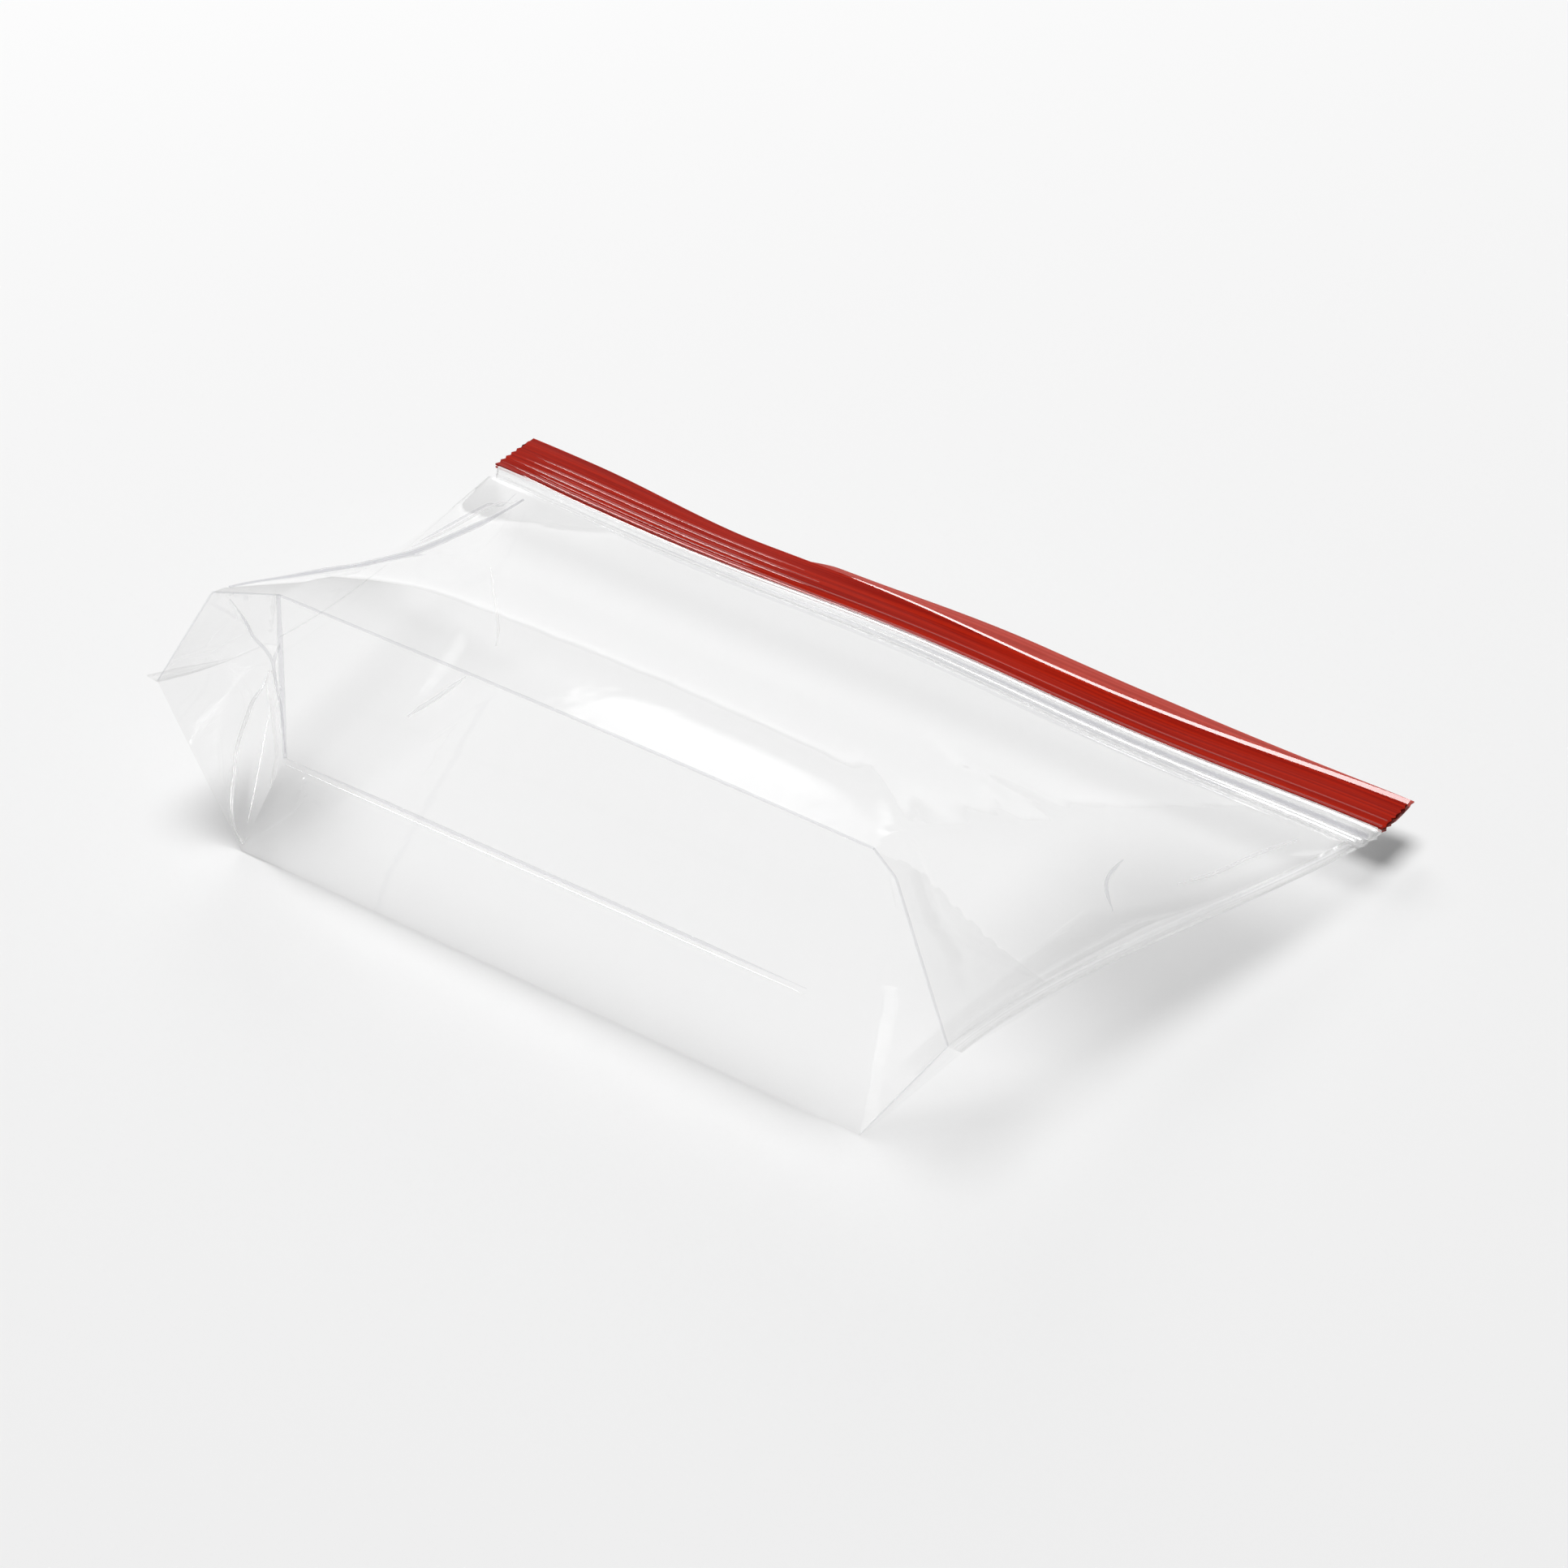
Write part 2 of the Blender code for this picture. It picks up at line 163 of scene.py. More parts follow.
# brightness, left, right, bottom and top in degrees, softness of the four sides, lean
ROOM_PANELS = [
    # the window that the front panel mirrors along the fold
    (0.75, 27.7, 22.6, 12.5, 30.0, (0.4, 2.2, 3.0, 2.0), 0.379),
    # a lamp overhead that the turned-up left side of the back panel mirrors
    (1.3, 5.0, 0.5, 44.0, 47.0, (0.8, 1.5, 1.0, 1.0)),
    # a strip lamp, high and in front, that only ribs, beads and folds mirror
    (18.0, 158.0, 124.0, 31.0, 47.0, (3.0, 3.0, 2.0, 3.0)),
    # dark screens at the left and the right
    (-0.42, 95.0, 36.2, -30.0, 22.0, (12.0, 1.5, 5.0, 8.0)),
    (-0.50, -58.0, -120.0, -30.0, 40.0, (10.0, 12.0, 5.0, 16.0)),
]
light = add_node(room, "ShaderNodeMath", {"operation": "ADD", 0: ROOM_GREY, 1: 0.0})
for spec in ROOM_PANELS:
    light = add_node(room, "ShaderNodeMath", {"operation": "ADD"}, i0=light, i1=panel(*spec))
light = add_node(room, "ShaderNodeMath", {"operation": "MAXIMUM", 1: 0.0}, i0=light)
mirrored = add_node(room, "ShaderNodeBackground", Color=light)
even = add_node(room, "ShaderNodeBackground", {"Strength": ROOM_FILL, "Color": linear("#FFFFFF")})
ray = add_node(room, "ShaderNodeLightPath")
seen = add_node(
    room, "ShaderNodeMixShader", i0=ray.outputs["Is Diffuse Ray"],
    i1=mirrored.outputs["Background"], i2=even.outputs["Background"])
add_node(room, "ShaderNodeOutputWorld", Surface=seen)


def lamp(name, kind, place, power):
    """A lamp that lights the paper and throws shadows but is seen in no reflection."""
    data = bpy.data.lights.new(name, kind)
    data.energy = power
    obj = new_object(name, data)
    obj.location = place
    obj.rotation_euler = Vector(place).to_track_quat("Z", "Y").to_euler()
    obj.visible_glossy = False
    return data


lamp("overhead_soft_box", "SUN", (-0.14, 0.0, 0.99), 2.24).angle = math.radians(34.0)
lamp("key_soft_box", "AREA", (-1.05, 0.92, 0.95), 5.5).size = 0.6

# matt coated paper: an even pale white, very faintly uneven
PAPER = "#F4F4F4"
floor_mesh = bpy.data.meshes.new("paper_sweep")
floor_mesh.from_pydata(
    [(-6, -6, 0), (6, -6, 0), (6, 6, 0), (-6, 6, 0)], [], [(0, 1, 2, 3)])
floor = new_object("paper_sweep", floor_mesh)
paper, tree = new_tree("matt_paper")
fibre = add_node(tree, "ShaderNodeTexNoise", {"Scale": 900.0, "Detail": 3.0})
grain = add_node(
    tree, "ShaderNodeBump", {"Strength": 0.03, "Distance": 0.2 * MM}, Height=fibre.outputs["Fac"])
sheet = add_node(
    tree, "ShaderNodeBsdfPrincipled",
    {"Base Color": linear(PAPER), "Roughness": 0.8, "Specular IOR Level": 0.0},
    Normal=grain.outputs["Normal"])
add_node(tree, "ShaderNodeOutputMaterial", Surface=sheet.outputs["BSDF"])
floor_mesh.materials.append(paper)


# ==== Pouch film ====
# Blown polyethylene film, 0.06 mm thick: a front panel, a back panel and a gusset
# that stands open as the near face. Air holds it up, and it keeps its fold lines.

ZIP_LENGTH = 270 * MM
TAPE_WIDTH = 14.7 * MM
BAND_WIDTH = 11.0 * MM
GAP = 0.35 * MM
ZIP_HEIGHT = {-1: 15.5 * MM, 1: 11.5 * MM}
BAND_RISE = {-1: 4.5 * MM, 1: 1.5 * MM}
ZIP_SAG = 1.5 * MM
# corners at the left (-1) and the right (1), in mm, with y counted from the zip's free edge
TIP = {-1: (-115.0, -169.0, 39.5), 1: (114.5, -169.5, 35.5)}
SHOULDER = {-1: (-104.0, -159.5, 64.0), 1: (95.0, -162.0, 68.0)}
FOLD_CORNER = {-1: (-89.0, -153.0, 65.5), 1: (88.0, -160.5, 72.0)}
CREASE_CORNER = {-1: (-78.0, -166.5, 31.0), 1: (78.0, -171.5, 36.0)}
BASE_CORNER = {-1: (-91.0, -170.0, 0.3), 1: (92.0, -170.5, 0.3)}
CORNER_SHARE = 0.70
FOLD_ARCH = 0.8 * MM
CROWN_START = 0.45
CROWN_BEND = 0.35
SIDE_FULLNESS = {-1: 0.55, 1: 0.62}
SIDE_POWER = {-1: (8.0, 5.0), 1: (6.0, 3.2)}
FACE_BULGE = 2.5 * MM
WELD_WIDTH = 3.5 * MM
WELD_PULL = {-1: 3.5 * MM, 1: 0.5 * MM}
WELD_THICK = 0.5 * MM
WELD_DIP = 4.0 * MM
WELD_FALL = {-1: 2.3, 1: 1.05}
GUSSET_SHARE = 0.27
EAR_AIR = 1.5 * MM
EAR_GAP = 0.6 * MM
EAR_COLUMNS = 36
FACE_COLUMNS = 140
PANEL_ROWS = 116
SEAM = 0.002 * MM

# the zip's free edge lies along the far side of the solids' box
zip_line_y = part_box("zip_tape_back")[1].y


def mix(a, b, share):
    """Straight blend from a to b."""
    return a + (b - a) * share


def unit(x):
    """Holds x between 0 and 1."""
    return np.minimum(np.maximum(x, 0.0), 1.0)


def smooth(x, low, high):
    """Rises from 0 to 1 between low and high with no kink at either end."""
    t = unit((np.asarray(x, float) - low) / (high - low))
    return t * t * (3.0 - 2.0 * t)


def zip_share(x):
    """How far x lies along the zip, 0 at its left end and 1 at its right."""
    return np.asarray(x, float) / ZIP_LENGTH + 0.5


def zip_z(x):
    """Height of the red tape above the floor."""
    share = zip_share(x)
    sag = ZIP_SAG * np.sin(2.0 * math.pi * share) ** 2
    return mix(ZIP_HEIGHT[-1], ZIP_HEIGHT[1], share) - sag


def band_rise(x):
    """How far the clear band climbs from the tape to the pouch."""
    share = zip_share(x)
    return mix(BAND_RISE[-1], BAND_RISE[1], share) + 1.5 * MM * np.sin(math.pi * share)


def mouth(x):
    """The line where the pouch ends and the clear band begins, as y and z."""
    return -TAPE_WIDTH - BAND_WIDTH - 2.0 * GAP, zip_z(x) + band_rise(x)


def polyline(u, stops, corners):
    """Straight lines through corners given in metres, by their stops along u."""
    places = np.array(corners)
    return np.stack([np.interp(u, stops, places[:, k]) for k in range(3)], -1)


def front_fold(u):
    """Where the front panel turns into the gusset; u is -1 and 1 at the bag's tips."""
    stops = [-1.0, -0.86, -CORNER_SHARE, CORNER_SHARE, 0.78, 1.0]
    corners = [TIP[-1], SHOULDER[-1], FOLD_CORNER[-1], FOLD_CORNER[1], SHOULDER[1], TIP[1]]
    line = polyline(u, stops, np.array(corners) * MM)
    line[:, 2] += FOLD_ARCH * np.clip(1.0 - (u / CORNER_SHARE) ** 2, 0.0, None)
    line[:, 2] += WELD_THICK / 2.0
    return line


def back_fold(u):
    """Where the gusset turns into the back panel, on the floor between its corners."""
    stops = [-1.0, -CORNER_SHARE, CORNER_SHARE, 1.0]
    corners = [TIP[-1], BASE_CORNER[-1], BASE_CORNER[1], TIP[1]]
    line = polyline(u, stops, np.array(corners) * MM)
    line[:, 2] -= WELD_THICK / 2.0 * ear_share(u)
    return line


def weld(side, v):
    """The inner edge of a side weld; v is 0 at the bottom corner and 1 at the zip."""
    tip = np.array(TIP[side]) * MM
    end_x = side * (ZIP_LENGTH / 2.0 - WELD_WIDTH - WELD_PULL[side])
    end_y, end_z = mouth(end_x)
    # 6.75 brings the curve's top, at a third of the way up, to 1
    dip = side * WELD_DIP * 6.75 * v * (1.0 - v) ** 2
    x = mix(tip[0], end_x, v) - dip
    y = mix(tip[1], end_y, v)
    z = end_z + (tip[2] - end_z) * (1.0 - v) ** WELD_FALL[side]
    return np.stack([x, y, z], -1)


def centre_crease(u):
    """The fold along the middle of the gusset, which ends on the welds behind the ears."""
    ends = {side: weld(side, np.array(GUSSET_SHARE)) for side in (-1, 1)}
    corners = {side: np.array(CREASE_CORNER[side]) * MM for side in (-1, 1)}
    stops = [-1.0, -CORNER_SHARE, CORNER_SHARE, 1.0]
    return polyline(u, stops, [ends[-1], corners[-1], corners[1], ends[1]])


def ear_share(u):
    """How far u lies out along an ear: 0 at the face's corner and 1 at the bag's tip."""
    return unit((np.abs(u) - CORNER_SHARE) / (1.0 - CORNER_SHARE))


def columns():
    """Column places from tip to tip, with one at each corner of the near face."""
    side = np.linspace(1.0, CORNER_SHARE, EAR_COLUMNS + 1)
    middle = np.linspace(-CORNER_SHARE, CORNER_SHARE, FACE_COLUMNS + 1)[1:-1]
    return np.concatenate([-side, middle, side[::-1]])


def panel_frame(u, v, fold):
    """Weld place, share of the half width and plan position for a whole panel."""
    uu, vv = np.meshgrid(u, v, indexing="ij")
    left = weld(-1, v)
    right = weld(1, v)
    edge_x = np.where(uu < 0.0, -left[None, :, 0], right[None, :, 0])
    edge_z = np.where(uu < 0.0, left[None, :, 2], right[None, :, 2])
    tip_x = np.where(u < 0.0, abs(TIP[-1][0]), TIP[1][0])[:, None] * MM
    x = fold[:, None, 0] * edge_x / tip_x
    mouth_y, mouth_z = mouth(x)
    y = mix(fold[:, None, 1], mouth_y, vv)
    return vv, x, y, edge_x, edge_z, mouth_z


def round_side(share, power, fullness):
    """1 over the middle of a panel, falling to 0 at its weld."""
    return unit(1.0 - np.minimum(share, 1.0) ** power) ** fullness


def crown_fall(v):
    """Share of the panel's height lost at v: slow by the fold, then at an even slope."""
    bent = np.minimum(v / CROWN_BEND, 1.0)
    eased = CROWN_BEND * (bent ** 3 - bent ** 4 / 2.0) + np.maximum(v - CROWN_BEND, 0.0)
    steep = (1.0 - CROWN_START) / (1.0 - CROWN_BEND / 2.0)
    return CROWN_START * v + steep * eased


def front_panel(u, v):
    """The top sheet, highest at the gusset and running down to the zip."""
    fold = front_fold(u)
    vv, x, y, edge_x, edge_z, mouth_z = panel_frame(u, v, fold)
    share = np.abs(x) / edge_x
    half = WELD_THICK / 2.0
    ridge = front_fold(np.clip(u, -CORNER_SHARE, CORNER_SHARE))[:, 2:]
    crown = mix(ridge, mouth_z, crown_fall(vv))
    fullness = np.where(u < 0.0, SIDE_FULLNESS[-1], SIDE_FULLNESS[1])[:, None]
    left, right = (mix(*SIDE_POWER[side], vv) for side in (-1, 1))
    power = np.where(u[:, None] < 0.0, left, right)
    edge_top = edge_z + half
    puffed = mix(edge_top, crown, round_side(share, power, fullness))
    tip_z = edge_top[:, :1]
    folded = mix(edge_top, crown, (fold[:, 2:] - tip_z) / (ridge - tip_z))
    z = mix(folded, puffed, smooth(vv, 0.0, 0.32))
    air = np.sin(math.pi * unit(vv / 0.5)) * (1.0 - share ** 8)
    z = z + EAR_AIR * air
    z[:, -1] = mouth_z[:, -1] + half
    return np.stack([x, y, z], -1)


def ear_gap(out, w):
    """How far a sheet of the ear stays off its neighbour: none at the fold or the weld."""
    return EAR_GAP * unit(w / 0.1) * unit((1.0 - out) / 0.2)


def under_ear(u, vv, x, edge_x, edge_z):
    """Greatest height of the back panel below the gusset sheet folded over it."""
    out = ear_share(u)[:, None]
    w = vv / GUSSET_SHARE
    near = np.minimum(w, 1.0)
    side = np.where(u < 0.0, 0, 1)[:, None]
    corner = np.array([abs(BASE_CORNER[k][0]) for k in (-1, 1)])[side] * MM
    tip = np.abs([TIP[k] for k in (-1, 1)])[side] * MM
    end = np.abs([weld(k, np.array(GUSSET_SHARE)) for k in (-1, 1)])[side]
    tip_x, tip_z = tip[..., 0], tip[..., 2] - WELD_THICK / 2.0
    end_x, end_z = end[..., 0], end[..., 2]
    before = np.maximum(out - w, 0.0) + np.maximum(w - out - 0.5, 0.0)
    sheet_z = tip_z * before + end_z * np.minimum(w, out)
    sheet_z += out ** 2 * (edge_z - mix(tip_z, end_z, near))
    sheet_x = mix(corner, tip_x, out) + near * (end_x - tip_x)
    sheet_x += out ** 2 * (edge_x - mix(tip_x, end_x, near))
    sheet_z += (np.abs(x) - sheet_x) * tip_z / (tip_x - corner)
    return np.where(out > 0.0, sheet_z - ear_gap(out, w), 1.0)


def back_panel(u, v):
    """The bottom sheet, flat on the floor and turned up to the welds and the zip."""
    fold = back_fold(u)
    vv, x, y, edge_x, edge_z, mouth_z = panel_frame(u, v, fold)
    share = np.abs(x) / edge_x
    half = WELD_THICK / 2.0
    lift = (mouth_z - half) * smooth(vv, 0.68, 1.0) ** 1.3
    puffed = unit(1.2 * round_side(share, mix(5.0, 3.4, vv), 0.7))
    edge_low = edge_z - half
    folded = edge_low * fold[:, None, 2] / edge_low[:, :1]
    z = mix(folded, mix(edge_low, lift, puffed), smooth(vv, 0.0, 0.3))
    most = under_ear(u, vv, x, edge_x, edge_z)
    z = np.clip(z, 0.3 * MM, np.maximum(most, 0.3 * MM))
    z[:, 0] = fold[:, 2]
    z[:, -1] = mouth_z[:, -1] - half
    z[[0, -1]] = edge_low[[0, -1]]
    return np.stack([x, y, z], -1)


def half_gusset(u, fold, crease, rows, inward):
    """Half of the gusset; past the face's corners it folds along a slanting crease."""
    out = ear_share(u)[:, None]
    side = (u < 0.0)[:, None]
    last = len(u) - 1
    fold_at = np.where(side, fold[EAR_COLUMNS], fold[last - EAR_COLUMNS])
    crease_at = np.where(side, crease[EAR_COLUMNS], crease[last - EAR_COLUMNS])
    tip = np.where(side, fold[0], fold[last])
    end = np.where(side, crease[0], crease[last])
    grid = []
    for w in rows:
        face = mix(fold, crease, w)
        ear = fold_at * (1.0 - out) + tip * (out - w) + end * w
        behind = fold_at * (1.0 - w) + crease_at * (w - out) + end * out
        ends = np.where(w <= out, ear + (fold - mix(fold_at, tip, out)) * (1.0 - w), behind)
        row = np.where(out > 0.0, ends, face)
        laid = unit(1.0 - (w - out) / 0.3) * (out > 0.0)
        row[:, 2:] += inward * laid * ear_gap(out, w)
        grid.append(row)
    return grid


def gusset(u):
    """The opened gusset, from the front fold over its centre crease to the back fold."""
    steps = np.linspace(0.0, 1.0, EAR_COLUMNS + 1)
    crease = centre_crease(u)
    rows = half_gusset(u, front_fold(u), crease, steps, -1)
    rows += half_gusset(u, back_fold(u), crease, steps, 1)[-2::-1]
    grid = np.stack(rows, 1)
    face = 1.0 - smooth(np.abs(u), CORNER_SHARE - 0.1, CORNER_SHARE)
    bulge = np.abs(np.sin(2.0 * math.pi * np.linspace(0.0, 1.0, len(rows))))
    grid[:, :, 1] -= FACE_BULGE * face[:, None] * bulge
    for column, side in ((0, -1), (-1, 1)):
        valley = weld(side, GUSSET_SHARE * steps)
        pull = np.vstack([valley, valley[-2::-1]]) - grid[column]
        pull[[0, -1]] = 0.0
        near = ear_share(np.maximum(side * u, 0.0)) ** 2
        grid += near[:, None, None] * pull
    return grid


def add_grid(bm, grid, keel=None):
    """Adds a grid of points as triangles; at each end they fan out from row keel."""
    verts = [[bm.verts.new(p) for p in column] for column in grid]
    middle = len(verts) // 2
    for column, (a, b) in enumerate(zip(verts, verts[1:])):
        for i in range(len(a) - 1):
            corners = [a[i], b[i], b[i + 1], a[i + 1]]
            if keel is not None and (i < keel) == (column < middle):
                corners = corners[1:] + corners[:1]
            bm.faces.new((corners[0], corners[1], corners[2]))
            bm.faces.new((corners[0], corners[2], corners[3]))


def plain_mesh(name, bm, material, crease_angle=30.0):
    """Merges a mesh's seams, turns its faces outward and links it as one object."""
    bmesh.ops.remove_doubles(bm, verts=bm.verts, dist=SEAM)
    bmesh.ops.dissolve_degenerate(bm, edges=bm.edges, dist=SEAM)
    bmesh.ops.recalc_face_normals(bm, faces=bm.faces)
    mesh = bpy.data.meshes.new(name)
    bm.to_mesh(mesh)
    bm.free()
    mesh.shade_smooth()
    mesh.set_sharp_from_angle(angle=math.radians(crease_angle))
    mesh.materials.append(material)
    return new_object(name, mesh)


# where the film holds back extra lamp light, for shadow rays only, to paint a shadow on the floor:
# by the middle of the right weld (right, near and far) and at the left ear (left and front); an
# axis, its start and its full place in m
PAINTED_SHADOW_ZONES = {
    "right": ("X", 0.064, 0.098), "near": ("Y", -0.045, 0.000), "far": ("Y", 0.062, 0.030),
    "left": ("X", -0.078, -0.100), "front": ("Y", -0.045, -0.065)}
STEEP_POWER = 2.8
# the share that steep film holds back falls from 0.8 to 0.28 along the right ear, X in m
STEEP_HOLD = {1: 0.070, 2: 0.100, 3: 0.8, 4: 0.28}
MILKY = "#F9F9F9"


def clear_film(name, tint, haze, roughness, wave_mm, wave_height, shine=0.04, shade=0.0):
    """Clear polyethylene: lets light through and mirrors more the flatter it is seen.

    shade is how much extra lamp light it holds back, for shadow rays only, in the painted-shadow
    zones: a painted shadow on the floor."""
    material, tree = new_tree(name)
    place = add_node(tree, "ShaderNodeTexCoord")
    waves = add_node(
        tree, "ShaderNodeTexNoise", {"Scale": 1.0 / (wave_mm * MM), "Detail": 2.0},
        Vector=place.outputs["Object"])
    bump = add_node(
        tree, "ShaderNodeBump", {"Strength": 1.0, "Distance": wave_height * MM},
        Height=waves.outputs["Fac"])
    facing = add_node(tree, "ShaderNodeLayerWeight", {"Blend": 0.5}, Normal=bump.outputs["Normal"])
    # mirrors least face on, and film has two faces that each mirror
    fifth = add_node(
        tree, "ShaderNodeMath", {"operation": "POWER", 1: 5.0}, i0=facing.outputs["Facing"])
    one_face = add_node(
        tree, "ShaderNodeMath", {"operation": "MULTIPLY_ADD", 1: 0.96, 2: shine}, i0=fifth)
    twice = add_node(tree, "ShaderNodeMath", {"operation": "MULTIPLY", 1: 2.0}, i0=one_face)
    plus = add_node(tree, "ShaderNodeMath", {"operation": "ADD", 1: 1.0}, i0=one_face)
    both = add_node(tree, "ShaderNodeMath", {"operation": "DIVIDE"}, i0=twice, i1=plus)
    through = add_node(tree, "ShaderNodeBsdfTransparent", {"Color": linear(tint)})
    milky = add_node(tree, "ShaderNodeBsdfDiffuse", {"Color": linear(MILKY)})
    body = add_node(tree, "ShaderNodeMixShader", {0: haze}, i1=through, i2=milky)
    gloss = add_node(
        tree, "ShaderNodeBsdfGlossy", {"Color": linear("#FFFFFF"), "Roughness": roughness},
        Normal=bump.outputs["Normal"])
    # for shadow rays a lamp's light is held back where the film stands steep in it, and by place in
    # the zones of painted shadow
    edge_on = add_node(
        tree, "ShaderNodeMath", {"operation": "POWER", 1: STEEP_POWER}, i0=facing.outputs["Facing"])
    part = add_node(tree, "ShaderNodeSeparateXYZ", Vector=place.outputs["Object"])
    ear = add_node(tree, "ShaderNodeMapRange", STEEP_HOLD, i0=part.outputs["X"])
    zone = {}
    for side, (axis, start, full) in PAINTED_SHADOW_ZONES.items():
        zone[side] = add_node(
            tree, "ShaderNodeMapRange", {1: start, 2: full}, i0=part.outputs[axis])
    middle = add_node(
        tree, "ShaderNodeMath", {"operation": "MULTIPLY"}, i0=zone["near"], i1=zone["far"])
    painted_shadow_zone = add_node(tree, "ShaderNodeMath", {"operation": "MULTIPLY"}, i0=zone["right"], i1=middle)
    painted_shadow_zone = add_node(
        tree, "ShaderNodeMath", {"operation": "MULTIPLY_ADD"}, i0=zone["left"],
        i1=zone["front"], i2=painted_shadow_zone)
    shaded = add_node(tree, "ShaderNodeMath", {"operation": "MULTIPLY", 1: shade}, i0=painted_shadow_zone)
    stopped = add_node(
        tree, "ShaderNodeMath", {"operation": "MULTIPLY_ADD", "use_clamp": True},
        i0=edge_on, i1=ear, i2=shaded)
    ray = add_node(tree, "ShaderNodeLightPath")
    held = add_node(tree, "ShaderNodeMix", i0=ray.outputs["Is Shadow Ray"], i2=both, i3=stopped)
    film = add_node(tree, "ShaderNodeMixShader", i0=held, i1=body, i2=gloss)
    add_node(tree, "ShaderNodeOutputMaterial", Surface=film)
    return material


# fold lines and wrinkles pressed into the front panel: points in mm, width, height
FRONT_CREASES = [
    ([(50, -24, 60), (62, -36, 64), (73.5, -47.7, 67.5), (88.3, -63.6, 70.8)], 5.0, 0.8),
    ([(88.3, -63.6, 70.8), (95, -67, 67), (100.9, -68.7, 59.5), (106.2, -67.2, 50.2),
      (108.7, -68.9, 44.8)], 5.0, 1.7),
    ([(45, 12, 42), (66, -3, 47), (86, -18, 52)], 5.0, 0.5),
    ([(67, -1, 47), (86, 1.5, 43)], 4.0, 0.5),
    ([(107.7, -1.6, 37), (115.9, -15.7, 31.7)], 4.0, -0.9),
]


def pressed(grid, creases):
    """Raises or sinks a sheet along its creases."""
    across = np.gradient(grid, axis=0)
    along = np.gradient(grid, axis=1)
    normal = np.cross(across, along)
    normal /= np.linalg.norm(normal, axis=2, keepdims=True) + 1e-12
    normal *= np.where(normal[..., 2:] < 0.0, -1.0, 1.0)
    moved = np.zeros(grid.shape[:2])
    for points, width, height in creases:
        line = np.array(points, float) * MM
        line[:, 1] -= zip_line_y
        best = np.full(grid.shape[:2], 1.0)
        fade = np.zeros(grid.shape[:2])
        lengths = np.linalg.norm(np.diff(line, axis=0), axis=1)
        starts = np.concatenate([[0.0], np.cumsum(lengths)])
        for k, (a, b) in enumerate(zip(line, line[1:])):
            t = unit(((grid - a) @ (b - a)) / (lengths[k] ** 2))
            gap = np.linalg.norm((grid - a - t[..., None] * (b - a))[..., :2], axis=2)
            place = (starts[k] + t * lengths[k]) / starts[-1]
            closer = gap < best
            best = np.where(closer, gap, best)
            fade = np.where(closer, np.sin(math.pi * np.clip(place, 0.04, 0.96)) ** 0.5, fade)
        tent = unit(1.0 - best / (width * MM)) ** 1.6
        moved += height * MM * tent * fade
    return grid + normal * moved[..., None]


def build_pouch(top, bottom, folds, material):
    """Joins the three sheets, the two welded edges and the end at the zip."""
    bm = bmesh.new()
    for grid in (top, bottom, np.stack([top[:, -1], bottom[:, -1]], 1)):
        add_grid(bm, grid)
    add_grid(bm, folds, EAR_COLUMNS)
    for column in (0, -1):
        add_grid(bm, np.stack([top[column], bottom[column]], 0))
        corners = (top[column][0], bottom[column][0], folds[column, 1])
        bm.faces.new([bm.verts.new(p) for p in corners])
    for vert in bm.verts:
        vert.co.y += zip_line_y
    return plain_mesh("pouch_film_sheet", bm, material)


# blown low-density polyethylene: glossy and almost clear, with slow waves left by the bubble
film = clear_film("blown_polyethylene_film", "#FDFDFD", 0.02, 0.04, 14.0, 0.10, shade=0.23)
across = columns()
along = np.linspace(0.0, 1.0, PANEL_ROWS + 1)
top_sheet = front_panel(across, along)
top_sheet[1:-1, 1:-1] = pressed(top_sheet, FRONT_CREASES)[1:-1, 1:-1]
bottom_sheet = back_panel(across, along)
gusset_sheet = gusset(across)
pouch = build_pouch(top_sheet, bottom_sheet, gusset_sheet, film)
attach(pouch, "root")
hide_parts("pouch_film")


# ==== Side welds ====
# Down each side a hot knife welds the two panels and cuts them free in one pass. It leaves
# a flat clear strip with a molten bead along its cut edge and a finer one inside it.

WELD_STEPS = 90
WELD_BEAD = 0.34 * MM
INNER_BEAD = 0.16 * MM
ROLL_THIN = 0.88
ROLL_RUN = (0.06, 0.20)


def node_tree(name, inputs):
    """An empty Geometry Nodes tree; its inputs are label, socket kind and value, and a material."""
    tree = bpy.data.node_groups.new(name, "GeometryNodeTree")
    tree.interface.new_socket("Geometry", in_out="INPUT", socket_type="NodeSocketGeometry")
    for label, kind, value in (*inputs, ("Material", "Material", None)):
        socket = tree.interface.new_socket(
            label, in_out="INPUT", socket_type="NodeSocket" + kind)
        if value is not None:
            socket.default_value = value
    tree.interface.new_socket("Geometry", in_out="OUTPUT", socket_type="NodeSocketGeometry")
    return tree, tree.nodes.new("NodeGroupInput").outputs


def loose_paths(name, paths):
    """Loose edges along paths, with a thickness share at every point."""
    points, edges, shares = [], [], []
    for path, thickness in paths:
        start = len(points)
        points += [tuple(p) for p in path]
        shares += list(np.broadcast_to(thickness, len(path)))
        edges += [(start + k, start + k + 1) for k in range(len(path) - 1)]
    mesh = bpy.data.meshes.new(name)
    mesh.from_pydata(points, edges, [])
    mesh.attributes.new("thickness", "FLOAT", "POINT").data.foreach_set("value", shares)
    return new_object(name, mesh)


def grown(obj, tree, values):
    """Runs a node tree on an object and keeps the result as its plain mesh."""
    modifier = obj.modifiers.new(tree.name, "NODES")
    modifier.node_group = tree
    for socket in tree.interface.items_tree:
        if socket.name in values:
            modifier[socket.identifier] = values[socket.name]
    evaluated = obj.evaluated_get(bpy.context.evaluated_depsgraph_get())
    mesh = bpy.data.meshes.new_from_object(evaluated)
    obj.modifiers.remove(modifier)
    obj.data = mesh
    return obj


def dressed(tree, geometry, material):
    """Ends a node tree: instances made real, then their material."""
    whole = add_node(tree, "GeometryNodeRealizeInstances", Geometry=geometry)
    clad = add_node(tree, "GeometryNodeSetMaterial", Geometry=whole, Material=material)
    add_node(tree, "NodeGroupOutput", Geometry=clad)


